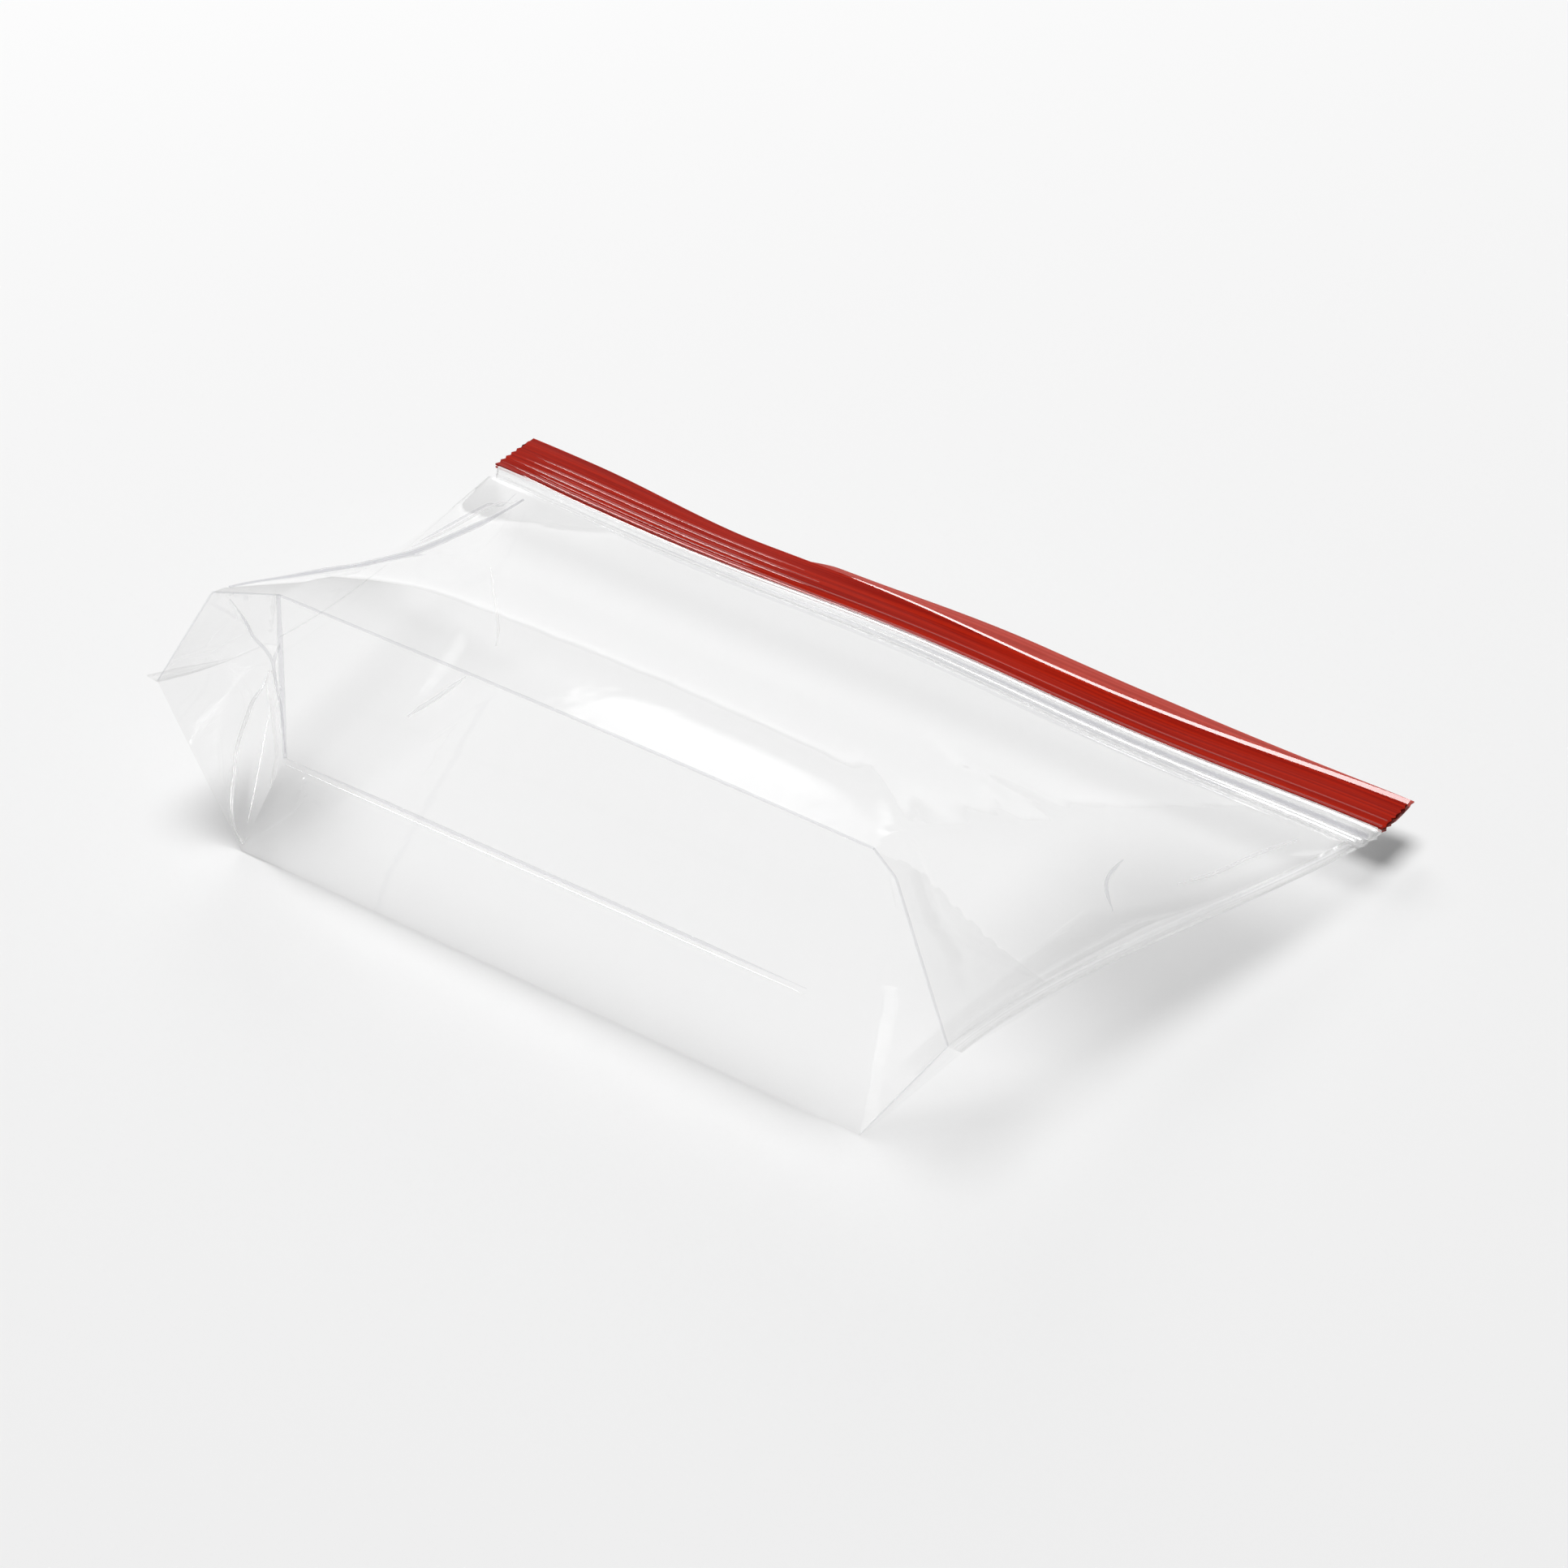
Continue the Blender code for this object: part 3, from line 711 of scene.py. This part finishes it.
weld_tree, given = node_tree("welded_edge", [
    ("Width", "Float", WELD_WIDTH), ("Thickness", "Float", WELD_THICK),
    ("Outward", "Float", 1.0), ("Edge Bead", "Float", WELD_BEAD),
    ("Inner Bead", "Float", INNER_BEAD)])
path = add_node(weld_tree, "GeometryNodeMeshToCurve", Mesh=given["Geometry"])
level = add_node(weld_tree, "GeometryNodeSetCurveNormal", {"mode": "Z_UP"}, Curve=path)
reach = add_node(
    weld_tree, "ShaderNodeMath", {"operation": "MULTIPLY"}, i0=given["Width"], i1=given["Outward"])
half_reach = add_node(weld_tree, "ShaderNodeMath", {"operation": "MULTIPLY", 1: 0.5}, i0=reach)
flat = add_node(
    weld_tree, "GeometryNodeCurvePrimitiveQuadrilateral", Width=given["Width"],
    Height=given["Thickness"])
edge_bead, inner_bead = (
    add_node(weld_tree, "GeometryNodeCurvePrimitiveCircle", {"Resolution": 8}, Radius=given[name])
    for name in ("Edge Bead", "Inner Bead"))
profile = add_node(weld_tree, "GeometryNodeJoinGeometry")
for shape, place in ((flat, half_reach), (edge_bead, reach), (inner_bead, half_reach)):
    shift = add_node(weld_tree, "ShaderNodeCombineXYZ", X=place)
    moved = add_node(weld_tree, "GeometryNodeTransform", Geometry=shape, Translation=shift)
    weld_tree.links.new(moved.outputs[0], profile.inputs[0])
share = add_node(weld_tree, "GeometryNodeInputNamedAttribute", {"Name": "thickness"})
swept = add_node(
    weld_tree, "GeometryNodeCurveToMesh", {"Fill Caps": True}, Curve=level,
    Profile_Curve=profile, Scale=share)
dressed(weld_tree, swept, given["Material"])

# two films melted into one: clear, a little milky, and uneven where the hot knife passed
weld_film = clear_film("heat_sealed_polyethylene", "#FDFDFD", 0.03, 0.06, 3.0, 0.05, shade=0.15)
for side, label in ((-1, "left"), (1, "right")):
    v = np.linspace(0.0, 1.0, WELD_STEPS)
    line = weld(side, v)
    line[:, 1] += zip_line_y
    # above the ear the left weld rolls away under the film, so little of its bead shows
    rolled = 1.0 - ROLL_THIN * smooth(v, *ROLL_RUN) * (side < 0)
    strip_piece = grown(loose_paths("side_weld_" + label, [(line, rolled)]), weld_tree, {
        "Width": WELD_WIDTH, "Thickness": WELD_THICK, "Outward": float(side),
        "Edge Bead": WELD_BEAD, "Inner Bead": INNER_BEAD, "Material": weld_film})
    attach(strip_piece, "root")
    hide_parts("pouch_film")


# ==== Fold lines ====
# Where the film was folded flat in its packet it keeps sharp lines. Each is a narrow ridge
# of doubled film, grey where it bends the light away and white where it was stretched.

FOLD_STEP = 1.5 * MM
FOLD_RADIUS = 0.36 * MM
FOLD_SIDES = 8

mesh = pouch.data
sheets = BVHTree.FromPolygons([v.co for v in mesh.vertices], [p.vertices for p in mesh.polygons])


def rounded(points):
    """A smooth path through points in mm, at even steps."""
    corners = np.array(points, float) * MM
    ends = np.vstack([2 * corners[0] - corners[1], corners, 2 * corners[-1] - corners[-2]])
    path = []
    for a, b, c, d in zip(ends, ends[1:], ends[2:], ends[3:]):
        steps = max(2, int(np.linalg.norm(c - b) / FOLD_STEP))
        for t in np.arange(steps) / steps:
            path.append(0.5 * (2 * b + (c - a) * t + (2 * a - 5 * b + 4 * c - d) * t ** 2
                               + (3 * b - a - 3 * c + d) * t ** 3))
    return np.array(path + [corners[-1]])


def on_sheet(points):
    """A path through points in mm, laid on the nearest film and evened out."""
    path = np.array([sheets.find_nearest(Vector(p))[0] for p in rounded(points)])
    for _ in range(3):
        path[1:-1] = (path[:-2] + 2.0 * path[1:-1] + path[2:]) / 4.0
    return path


def tapered(path, thickness, blunt=0.35):
    """A path whose thickness fades to both ends."""
    share = np.linspace(0.0, 1.0, len(path))
    return path, thickness * np.clip(np.sin(math.pi * share) / 0.6, blunt, 1.0)


def edge_of(sheet_line):
    """A grid line of the pouch in the frame's place."""
    return sheet_line + np.array([0.0, zip_line_y, 0.0])


left_corner, right_corner = EAR_COLUMNS, len(across) - 1 - EAR_COLUMNS
centre = edge_of(gusset_sheet[left_corner:right_corner + 1, EAR_COLUMNS])
GREY_FOLDS = [
    tapered(edge_of(top_sheet[:left_corner + 1, 0]), 0.6, 0.8),
    tapered(edge_of(top_sheet[left_corner:right_corner + 1, 0]), 1.0, 0.9),
    tapered(edge_of(top_sheet[right_corner:, 0]), 0.8, 0.9),
    tapered(centre, 1.2, 0.15),
    tapered(edge_of(gusset_sheet[left_corner, :EAR_COLUMNS + 1]), 1.9, 0.8),
    tapered(edge_of(bottom_sheet[right_corner:, 0]), 0.5, 0.6),
    # a crease beside the left weld and a wedge at the right one
    tapered(on_sheet([(-112, 12, 33), (-115, 30, 26), (-117, 45, 21), (-118, 58, 19)]), 0.8),
    tapered(on_sheet([(108.1, -0.6, 36), (110.9, -12.8, 36.9), (115.2, -16.6, 32.6)]), 1.3),
]
# the left panel's ridge from its shoulder up to the zip, where several layers bunch up
ridge = on_sheet([
    (-103, -68, 64), (-100, -60, 62), (-97, -54, 61.5), (-95.5, -46, 60), (-96, -32.5, 54.6),
    (-100, -18, 48), (-102, -4, 43), (-104, 7, 39), (-107, 23, 33), (-109, 36, 28),
    (-113, 55, 21)])
GREY_FOLDS += [tapered(ridge, thickness, 0.4) for thickness in (2.3, 1.3)]
# the left ear's inner fold
GREY_FOLDS.append(tapered(on_sheet([
    (-104, -67, 59), (-106, -62, 52), (-108, -57, 44), (-107, -55, 37.5), (-101, -57.5, 35),
    (-93, -64.5, 36), (-85, -72.5, 38), (-80, -77.5, 36), (-78, -79.5, 32)]), 1.2))
WHITE_FOLDS = [
    # a fine line just below the gusset's centre fold
    tapered(centre + np.array([0.0, -0.5, -1.3]) * MM, 0.4, 0.2),
    # the left ear's lower fold, bowed outwards, with a finer one inside it
    tapered(on_sheet([(-107, -52, 29), (-108, -56, 24), (-106, -62, 21), (-103, -69, 18),
                      (-100, -74, 14), (-97, -79, 10), (-94, -82, 6), (-91, -82, 1.5)]), 1.4),
    tapered(on_sheet([(-98, -60, 26), (-96, -66, 20), (-93, -73, 13), (-91, -79, 6)]), 0.4),
    # wrinkles of the back panel where it turns up at the left
    tapered(on_sheet([
        (-109, 36, 12), (-105, 32, 9), (-101, 28, 7), (-97, 24, 4), (-94, 19, 3)]), 1.1),
    tapered(on_sheet([(-92, 4, 2), (-92, -3, 2), (-92, -9, 2), (-92, -14, 3), (-92, -19, 3)]), 1.6),
    # a pale ridge near the right weld and one beside the left one
    tapered(on_sheet([(118, 7, 28), (120, 20, 24), (121, 36, 20), (123, 52, 16)]), 1.3),
    tapered(on_sheet([(-109, 5, 38), (-112, 24, 31), (-115, 42, 23), (-116, 56, 19)]), 1.0),
]


def tube(tree, path, given, scale):
    """A smooth tube along paths, with its radius scaled at every point."""
    ring = add_node(
        tree, "GeometryNodeCurvePrimitiveCircle", Resolution=given["Sides"], Radius=given["Radius"])
    swept = add_node(
        tree, "GeometryNodeCurveToMesh", {"Fill Caps": True}, Curve=path, Profile_Curve=ring,
        Scale=scale)
    return add_node(tree, "GeometryNodeSetShadeSmooth", Geometry=swept)


fold_tree, given = node_tree("pressed_fold", [
    ("Radius", "Float", FOLD_RADIUS), ("Sides", "Int", FOLD_SIDES)])
path = add_node(fold_tree, "GeometryNodeMeshToCurve", Mesh=given["Geometry"])
share = add_node(fold_tree, "GeometryNodeInputNamedAttribute", {"Name": "thickness"})
dressed(fold_tree, tube(fold_tree, path, given, share), given["Material"])

# doubled clear film bends the light aside and reads grey; stretched film glints white
doubled = clear_film("doubled_polyethylene_fold", "#F7F7F8", 0.0, 0.45, 3.0, 0.05, shine=0.0)
whitened = clear_film("stretch_whitened_polyethylene", "#FFFFFF", 0.03, 0.3, 3.0, 0.05, shine=0.14)
for label, folds, material in (("grey", GREY_FOLDS, doubled), ("white", WHITE_FOLDS, whitened)):
    lines = grown(loose_paths("fold_lines_" + label, folds), fold_tree, {
        "Radius": FOLD_RADIUS, "Sides": FOLD_SIDES, "Material": material})
    lines.visible_shadow = False
    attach(lines, "root")


# ==== Zip tapes ====
# Two strips of red polyethylene, extruded with fine ribs along them and pressed shut.
# Their lips stand free at the top; over the right half the back one shows past the front.

RED = "#AC200A"
RED_DEEP = "#8C1104"
RED_LIP = "#BE4436"
RED_LIP_DEEP = "#A83226"
LIP_WIDTH = 4.5 * MM
LIP_STEP = 5.7 * MM
LIP_CURL = 0.8 * MM
LIP_DIP = 2.6 * MM
LIP_GAPE = 0.9 * MM
LIP_BEND = 1.6
LIP_THIN = 0.6
TAPE_THICK = 0.5 * MM
TAPE_ROWS = 14
TAPE_TUCK = {-1: 1.1 * MM, 1: 0.3 * MM}
RIBS = 7
RIB_PITCH = 1.2 * MM
RIB_RADIUS = 0.5 * MM
RIB_SIDES = 10
# size of the first rib, what each next one loses, and what every second one loses besides
RIB_SIZE, RIB_FALL, RIB_FINE = 1.2, 0.07, 0.65
# the first ribs dip with the tape
TUCK_RIBS = 4.0
END_FLARE = 2.0 * MM
CUT_REACH = 0.025
CUT_ROUGHNESS = 0.35 * MM
CUT_WAVE = 2.9
SLANT_START, SLANT_RUN = -95.0 * MM, 40.0 * MM
# for shadow rays only, the share of light that the red passes falls to none at its right end, X in
# m: a painted shadow under that end
PAINTED_END_SHADOW = {1: 0.119, 2: 0.131, 3: 0.95, 4: 0.0}
# where along the zip each change starts and ends, as shares of its length from the left
RUN = {
    "flare": (0.0, 0.08), "tuck start": (0.0, 0.1), "tuck": (0.15, 0.6),
    "lip dips": (0.08, 0.28), "lip steps": (0.30, 0.62), "lip widens": (0.62, 1.1),
    "lip gapes": (0.25, 0.5), "lip closes": (0.7, 1.0), "lip curls": (0.36, 0.44),
    "back dips": (0.06, 0.26), "back widens": (0.31, 0.37),
    "back rises": (0.40, 0.60), "back falls": (0.72, 0.95),
    "ribs start": (0.01, 0.07), "ribs sink": (0.26, 0.40)}
zip_stations = np.linspace(-ZIP_LENGTH / 2.0, ZIP_LENGTH / 2.0, 271)


def red_plastic(name, colour, deep, alpha, roughness, gloss, relief=0.5):
    """Glossy pigmented polyethylene, drawn out in streaks along the zip."""
    material, tree = new_tree(name)
    place = add_node(tree, "ShaderNodeTexCoord")
    # streaks about 0.6 mm apart across the tape and 60 mm long
    drawn = add_node(
        tree, "ShaderNodeMapping", {"Scale": (16.0, 1600.0, 300.0)}, Vector=place.outputs["Object"])
    lines = add_node(
        tree, "ShaderNodeTexNoise", {"Scale": 1.0, "Detail": 2.0}, Vector=drawn.outputs["Vector"])
    spread = add_node(tree, "ShaderNodeMapRange", {1: 0.35, 2: 0.65}, i0=lines.outputs["Fac"])
    tone = add_node(
        tree, "ShaderNodeMix", {"data_type": "RGBA", 6: linear(deep), 7: linear(colour)}, i0=spread)
    bump = add_node(
        tree, "ShaderNodeBump", {"Strength": relief, "Distance": 0.1 * MM},
        Height=lines.outputs["Fac"])
    skin = add_node(
        tree, "ShaderNodeBsdfPrincipled",
        {"Roughness": roughness, "IOR": 1.51, "Alpha": alpha, "Specular IOR Level": gloss},
        Base_Color=tone.outputs[2], Normal=bump.outputs["Normal"])
    # for shadow rays only, the red passes most of a lamp's light, so it throws almost no shadow,
    # and its right end holds it back: a painted shadow under that end alone
    along_zip = add_node(tree, "ShaderNodeSeparateXYZ", Vector=place.outputs["Object"])
    passed = add_node(tree, "ShaderNodeMapRange", PAINTED_END_SHADOW, i0=along_zip.outputs["X"])
    ray = add_node(tree, "ShaderNodeLightPath")
    lit = add_node(
        tree, "ShaderNodeMath", {"operation": "MULTIPLY"}, i0=passed,
        i1=ray.outputs["Is Shadow Ray"])
    clear = add_node(tree, "ShaderNodeBsdfTransparent")
    plastic = add_node(tree, "ShaderNodeMixShader", i0=lit, i1=skin, i2=clear)
    add_node(tree, "ShaderNodeOutputMaterial", Surface=plastic)
    return material


def strip(name, outline, material, slant=0.0, crease_angle=40.0):
    """A closed strip: outline(x) gives rows of y and z; its ends are cut a little rough."""
    rings = []
    for x in zip_stations:
        y, z = outline(x).T
        end = unit(1.0 - (1.0 - abs(x) / (ZIP_LENGTH / 2.0)) / CUT_REACH)
        rough = CUT_ROUGHNESS * end * np.sin(y / MM * CUT_WAVE) * -np.sign(x)
        cut = slant * unit((SLANT_START - x) / SLANT_RUN)
        inward = (-TAPE_WIDTH - y) / BAND_WIDTH * cut
        rings.append(np.column_stack([
            x + rough - abs(rough).max() * np.sign(x) + inward, y + zip_line_y, z]))
    bm = bmesh.new()
    add_grid(bm, np.array([np.vstack([ring, ring[:1]]) for ring in rings]))
    for ring in (rings[0], rings[-1]):
        bm.faces.new([bm.verts.new(p) for p in ring])
    return plain_mesh(name, bm, material, crease_angle)


def tuck(x, y):
    """How far a tape dips towards the clear band; y runs from 0 at the band."""
    share = zip_share(x)
    depth = mix(TAPE_TUCK[-1], TAPE_TUCK[1], smooth(share, *RUN["tuck"]))
    depth = depth * smooth(share, *RUN["tuck start"])
    return depth * unit(1.0 - y / (TUCK_RIBS * RIB_PITCH)) ** 2


def tape_outline(x, side, width, lip, gape, curl=0.0):
    """Outline of a tape on one side of the shut zip: side is 1 above and -1 below."""
    flare = mix(END_FLARE, 0.05 * MM, smooth(zip_share(x), *RUN["flare"]))
    flat = (width - max(curl, 0.1 * MM)) * np.linspace(0.0, 1.0, TAPE_ROWS)
    y = np.concatenate([[-flare], flat, [width]])
    bend = width - LIP_BEND * lip
    open_lip = gape * smooth(y, bend, width) + curl * (y == width)
    lower = GAP / 2.0 + open_lip
    upper = lower + TAPE_THICK * mix(1.0, LIP_THIN, smooth(y, bend, width))
    level = zip_z(x) - tuck(x, np.maximum(y, 0.0)) + 0.3 * np.maximum(-y, 0.0)
    rows = np.column_stack([y - TAPE_WIDTH, level + side * upper])
    back = np.column_stack([y - TAPE_WIDTH, level + side * lower])[::-1]
    return np.vstack([rows, back])


def front_outline(x):
    """Front tape: its lip dips at the left; at the right it falls short, gapes and curls over."""
    share = zip_share(x)
    short = LIP_DIP * smooth(share, *RUN["lip dips"])
    short += (LIP_STEP - LIP_DIP) * smooth(share, *RUN["lip steps"])
    short *= 1.0 - 0.65 * smooth(share, *RUN["lip widens"])
    gape = LIP_GAPE * smooth(share, *RUN["lip gapes"])
    gape *= 1.0 - 0.5 * smooth(share, *RUN["lip closes"])
    curl = LIP_CURL * smooth(share, *RUN["lip curls"]) * mix(0.15, 1.0, share ** 2)
    return tape_outline(x, 1, TAPE_WIDTH - short, LIP_WIDTH * 0.5, gape, curl)


def back_outline(x):
    """Back tape: hidden at the left, and a little raised along the right half."""
    share = zip_share(x)
    short = (LIP_DIP + 0.6 * MM) * smooth(share, *RUN["back dips"])
    short *= 1.0 - smooth(share, *RUN["back widens"])
    rise = -1.4 * MM * smooth(share, *RUN["back rises"])
    rise *= 1.0 - smooth(share, *RUN["back falls"])
    return tape_outline(x, -1, TAPE_WIDTH - short, LIP_WIDTH, rise)


ribbed_tree, given = node_tree("ribbed_tape", [
    ("Ribs", "Int", RIBS), ("Pitch", "Float", RIB_PITCH), ("Radius", "Float", RIB_RADIUS),
    ("Sides", "Int", RIB_SIDES)])
# the tape comes in with the first rib as loose edges, which have no faces beside them
faces = add_node(ribbed_tree, "GeometryNodeInputMeshEdgeNeighbors")
is_path = add_node(
    ribbed_tree, "FunctionNodeCompare", {"data_type": "INT", "operation": "EQUAL", 3: 0}, i2=faces)
path = add_node(ribbed_tree, "GeometryNodeMeshToCurve", Mesh=given["Geometry"], Selection=is_path)
copies = add_node(
    ribbed_tree, "GeometryNodeDuplicateElements", {"domain": "SPLINE"},
    Geometry=path, Amount=given["Ribs"])
number = copies.outputs["Duplicate Index"]
aside = add_node(
    ribbed_tree, "ShaderNodeMath", {"operation": "MULTIPLY"}, i0=number, i1=given["Pitch"])
# each copy dips with the tape: the dip falls off as the square of its place
fading = add_node(
    ribbed_tree, "ShaderNodeMath",
    {"operation": "MULTIPLY_ADD", "use_clamp": True, 1: -1.0 / TUCK_RIBS, 2: 1.0 - 0.5 / TUCK_RIBS},
    i0=number)
squared = add_node(ribbed_tree, "ShaderNodeMath", {"operation": "POWER", 1: 2.0}, i0=fading)
dip = add_node(ribbed_tree, "GeometryNodeInputNamedAttribute", {"Name": "dip"})
down = add_node(ribbed_tree, "ShaderNodeMath", {"operation": "MULTIPLY"}, i0=squared, i1=dip)
step = add_node(ribbed_tree, "ShaderNodeCombineXYZ", Y=aside, Z=down)
placed = add_node(
    ribbed_tree, "GeometryNodeSetPosition", Geometry=copies.outputs["Geometry"], Offset=step)
# the ribs get lower towards the lip, and every second one is a fine one
odd = add_node(ribbed_tree, "ShaderNodeMath", {"operation": "MODULO", 1: 2.0}, i0=number)
even_size = add_node(
    ribbed_tree, "ShaderNodeMath", {"operation": "MULTIPLY_ADD", 1: -RIB_FALL, 2: RIB_SIZE},
    i0=number)
lower = add_node(
    ribbed_tree, "ShaderNodeMath", {"operation": "MULTIPLY_ADD", 1: -RIB_FINE},
    i0=odd, i2=even_size)
stored = add_node(
    ribbed_tree, "GeometryNodeStoreNamedAttribute", {"Name": "lower"}, Geometry=placed, Value=lower)
own, share = (
    add_node(ribbed_tree, "GeometryNodeInputNamedAttribute", {"Name": name})
    for name in ("lower", "thickness"))
size = add_node(ribbed_tree, "ShaderNodeMath", {"operation": "MULTIPLY"}, i0=share, i1=own)
ribs = tube(ribbed_tree, stored, given, size)
clad = add_node(ribbed_tree, "GeometryNodeSetMaterial", Geometry=ribs, Material=given["Material"])
flat = add_node(
    ribbed_tree, "GeometryNodeSeparateGeometry", {"domain": "EDGE"},
    Geometry=given["Geometry"], Selection=is_path)
tape = add_node(ribbed_tree, "GeometryNodeJoinGeometry")
ribbed_tree.links.new(clad.outputs[0], tape.inputs[0])
ribbed_tree.links.new(flat.outputs["Inverted"], tape.inputs[0])
whole = add_node(ribbed_tree, "GeometryNodeRealizeInstances", Geometry=tape)
add_node(ribbed_tree, "NodeGroupOutput", Geometry=whole)


def ribbed(tape_piece, first_rib, material):
    """Adds ribs to a tape: the first one is given as its points, thickness and dip."""
    bm = bmesh.new()
    bm.from_mesh(tape_piece.data)
    layers = [bm.verts.layers.float.new(name) for name in ("thickness", "dip")]
    verts = []
    for point, *values in zip(*first_rib):
        verts.append(bm.verts.new(point))
        for layer, value in zip(layers, values):
            verts[-1][layer] = value
    for a, b in zip(verts, verts[1:]):
        bm.edges.new((a, b))
    bm.to_mesh(tape_piece.data)
    bm.free()
    return grown(tape_piece, ribbed_tree, {
        "Ribs": RIBS, "Pitch": RIB_PITCH, "Radius": RIB_RADIUS, "Sides": RIB_SIDES,
        "Material": material})


# low-density polyethylene with red pigment: deep and soft on the flat, wet gloss on the ribs
red = red_plastic("extruded_red_polyethylene", RED, RED_DEEP, 1.0, 0.35, 0.07)
rib_red = red_plastic("polished_red_polyethylene", RED, RED_DEEP, 1.0, 0.18, 0.7, 0.0)
# the back lip is thinner, so light comes through it and it looks paler
thin_red = red_plastic("thin_red_polyethylene", RED_LIP, RED_LIP_DEEP, 0.88, 0.3, 0.3)

rib_x = zip_stations[1:-1]
rib_share = zip_share(rib_x)
# the ribs stand out at the left, and further right they lie almost flush
sunk = mix(0.30, 0.95, smooth(rib_share, *RUN["ribs sink"])) * RIB_RADIUS
rib_y = np.full_like(rib_x, zip_line_y - TAPE_WIDTH + 0.5 * RIB_PITCH)
rib_z = zip_z(rib_x) + GAP / 2.0 + TAPE_THICK - sunk
first_rib = (
    np.column_stack([rib_x, rib_y, rib_z]),
    0.3 + 0.7 * smooth(rib_share, *RUN["ribs start"]), -tuck(rib_x, 0.0))
front_tape = strip("zip_tape_front_ribbed", front_outline, red, crease_angle=22.0)
# the curled edge of the front lip is as glossy as the ribs
front_tape.data.materials.append(rib_red)
for face in front_tape.data.polygons:
    if face.normal.y < -0.4 and face.normal.z > 0.3:
        face.material_index = 1
front_tape = ribbed(front_tape, first_rib, rib_red)
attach(front_tape, "root")
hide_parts("zip_tape_front")
back_tape = strip("zip_tape_back_ribbed", back_outline, thin_red)
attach(back_tape, "root")
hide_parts("zip_tape_back")
# the film beside the zip mirrors the room and not the tapes
for tape_piece in (front_tape, back_tape):
    tape_piece.visible_glossy = False
    tape_piece.visible_diffuse = False


# ==== Clear zip band ====
# A second pair of tracks in clear polyethylene, extruded in one with the pouch's mouth.
# Its beads bend the light into white and grey lines; it is cut slanting at the left.

BAND_THICK = 2.0 * MM
BAND_SLANT = 8.0 * MM
# the band's outline: shares of its width, and how thick it is there
BAND_SHARES = np.array([
    0.0, 0.10, 0.17, 0.24, 0.31, 0.38, 0.46, 0.54, 0.61, 0.68, 0.75, 0.82, 0.90, 1.0])
BAND_SWELL = np.array([
    0.3, 0.35, 0.8, 1.0, 0.8, 0.45, 0.35, 0.35, 0.7, 1.0, 1.0, 0.7, 0.4, 0.35])
BAND_LINE_SIDES = 10


def band_outline(x):
    """Clear band: thin film edges round two thick beads of the second zip track."""
    thinned = mix(0.35, 1.0, smooth(zip_share(x), 0.05, 0.45))
    swell = BAND_SWELL * thinned * BAND_THICK / 2.0
    y = mix(mouth(x)[0] + GAP, -TAPE_WIDTH - GAP, BAND_SHARES)
    dip = tuck(x, 0.0)
    middle = zip_z(x) - dip + (band_rise(x) + dip) * (1.0 - BAND_SHARES)
    top = np.column_stack([y, middle + swell])
    bottom = np.column_stack([y, middle - swell])[::-1]
    return np.vstack([top, bottom])


# clear low-density polyethylene, thick enough to turn a little milky
track_plastic = clear_film(
    "extruded_clear_polyethylene", "#F8F8F8", 0.14, 0.16, 9.0, 0.03, shine=0.07, shade=0.2)
band = strip("clear_band_tracks", band_outline, track_plastic, BAND_SLANT)
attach(band, "root")
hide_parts("clear_zip_band")


def along_band(share, first, last, thickness):
    """A line along the band's top at a share of its width, swelling from its left end on."""
    x = np.linspace(first, last, 90) * MM
    y = np.full_like(x, mouth(x)[0] + GAP + (BAND_WIDTH - GAP) * share + zip_line_y)
    dip = tuck(x, 0.0)
    z = zip_z(x) - dip + (band_rise(x) + dip) * (1.0 - share) + 0.42 * BAND_THICK
    swelling = mix(0.1, 1.0, smooth(x, x[0], mix(x[0], x[-1], 0.5)))
    return np.column_stack([x, y, z]), thickness * swelling


for label, paths, material in (
        ("white", [along_band(0.88, -125, 134, 1.9), along_band(0.22, -10, 134, 1.5),
                   along_band(0.08, 84, 133, 1.5)], whitened),
        ("grey", [along_band(0.47, -30, 134, 2.0), along_band(0.47, 0, 134, 1.2),
                  along_band(0.02, -124, 100, 0.9)], doubled)):
    lines = grown(loose_paths("band_lines_" + label, paths), fold_tree, {
        "Radius": FOLD_RADIUS, "Sides": BAND_LINE_SIDES, "Material": material})
    lines.visible_shadow = False
    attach(lines, "root")
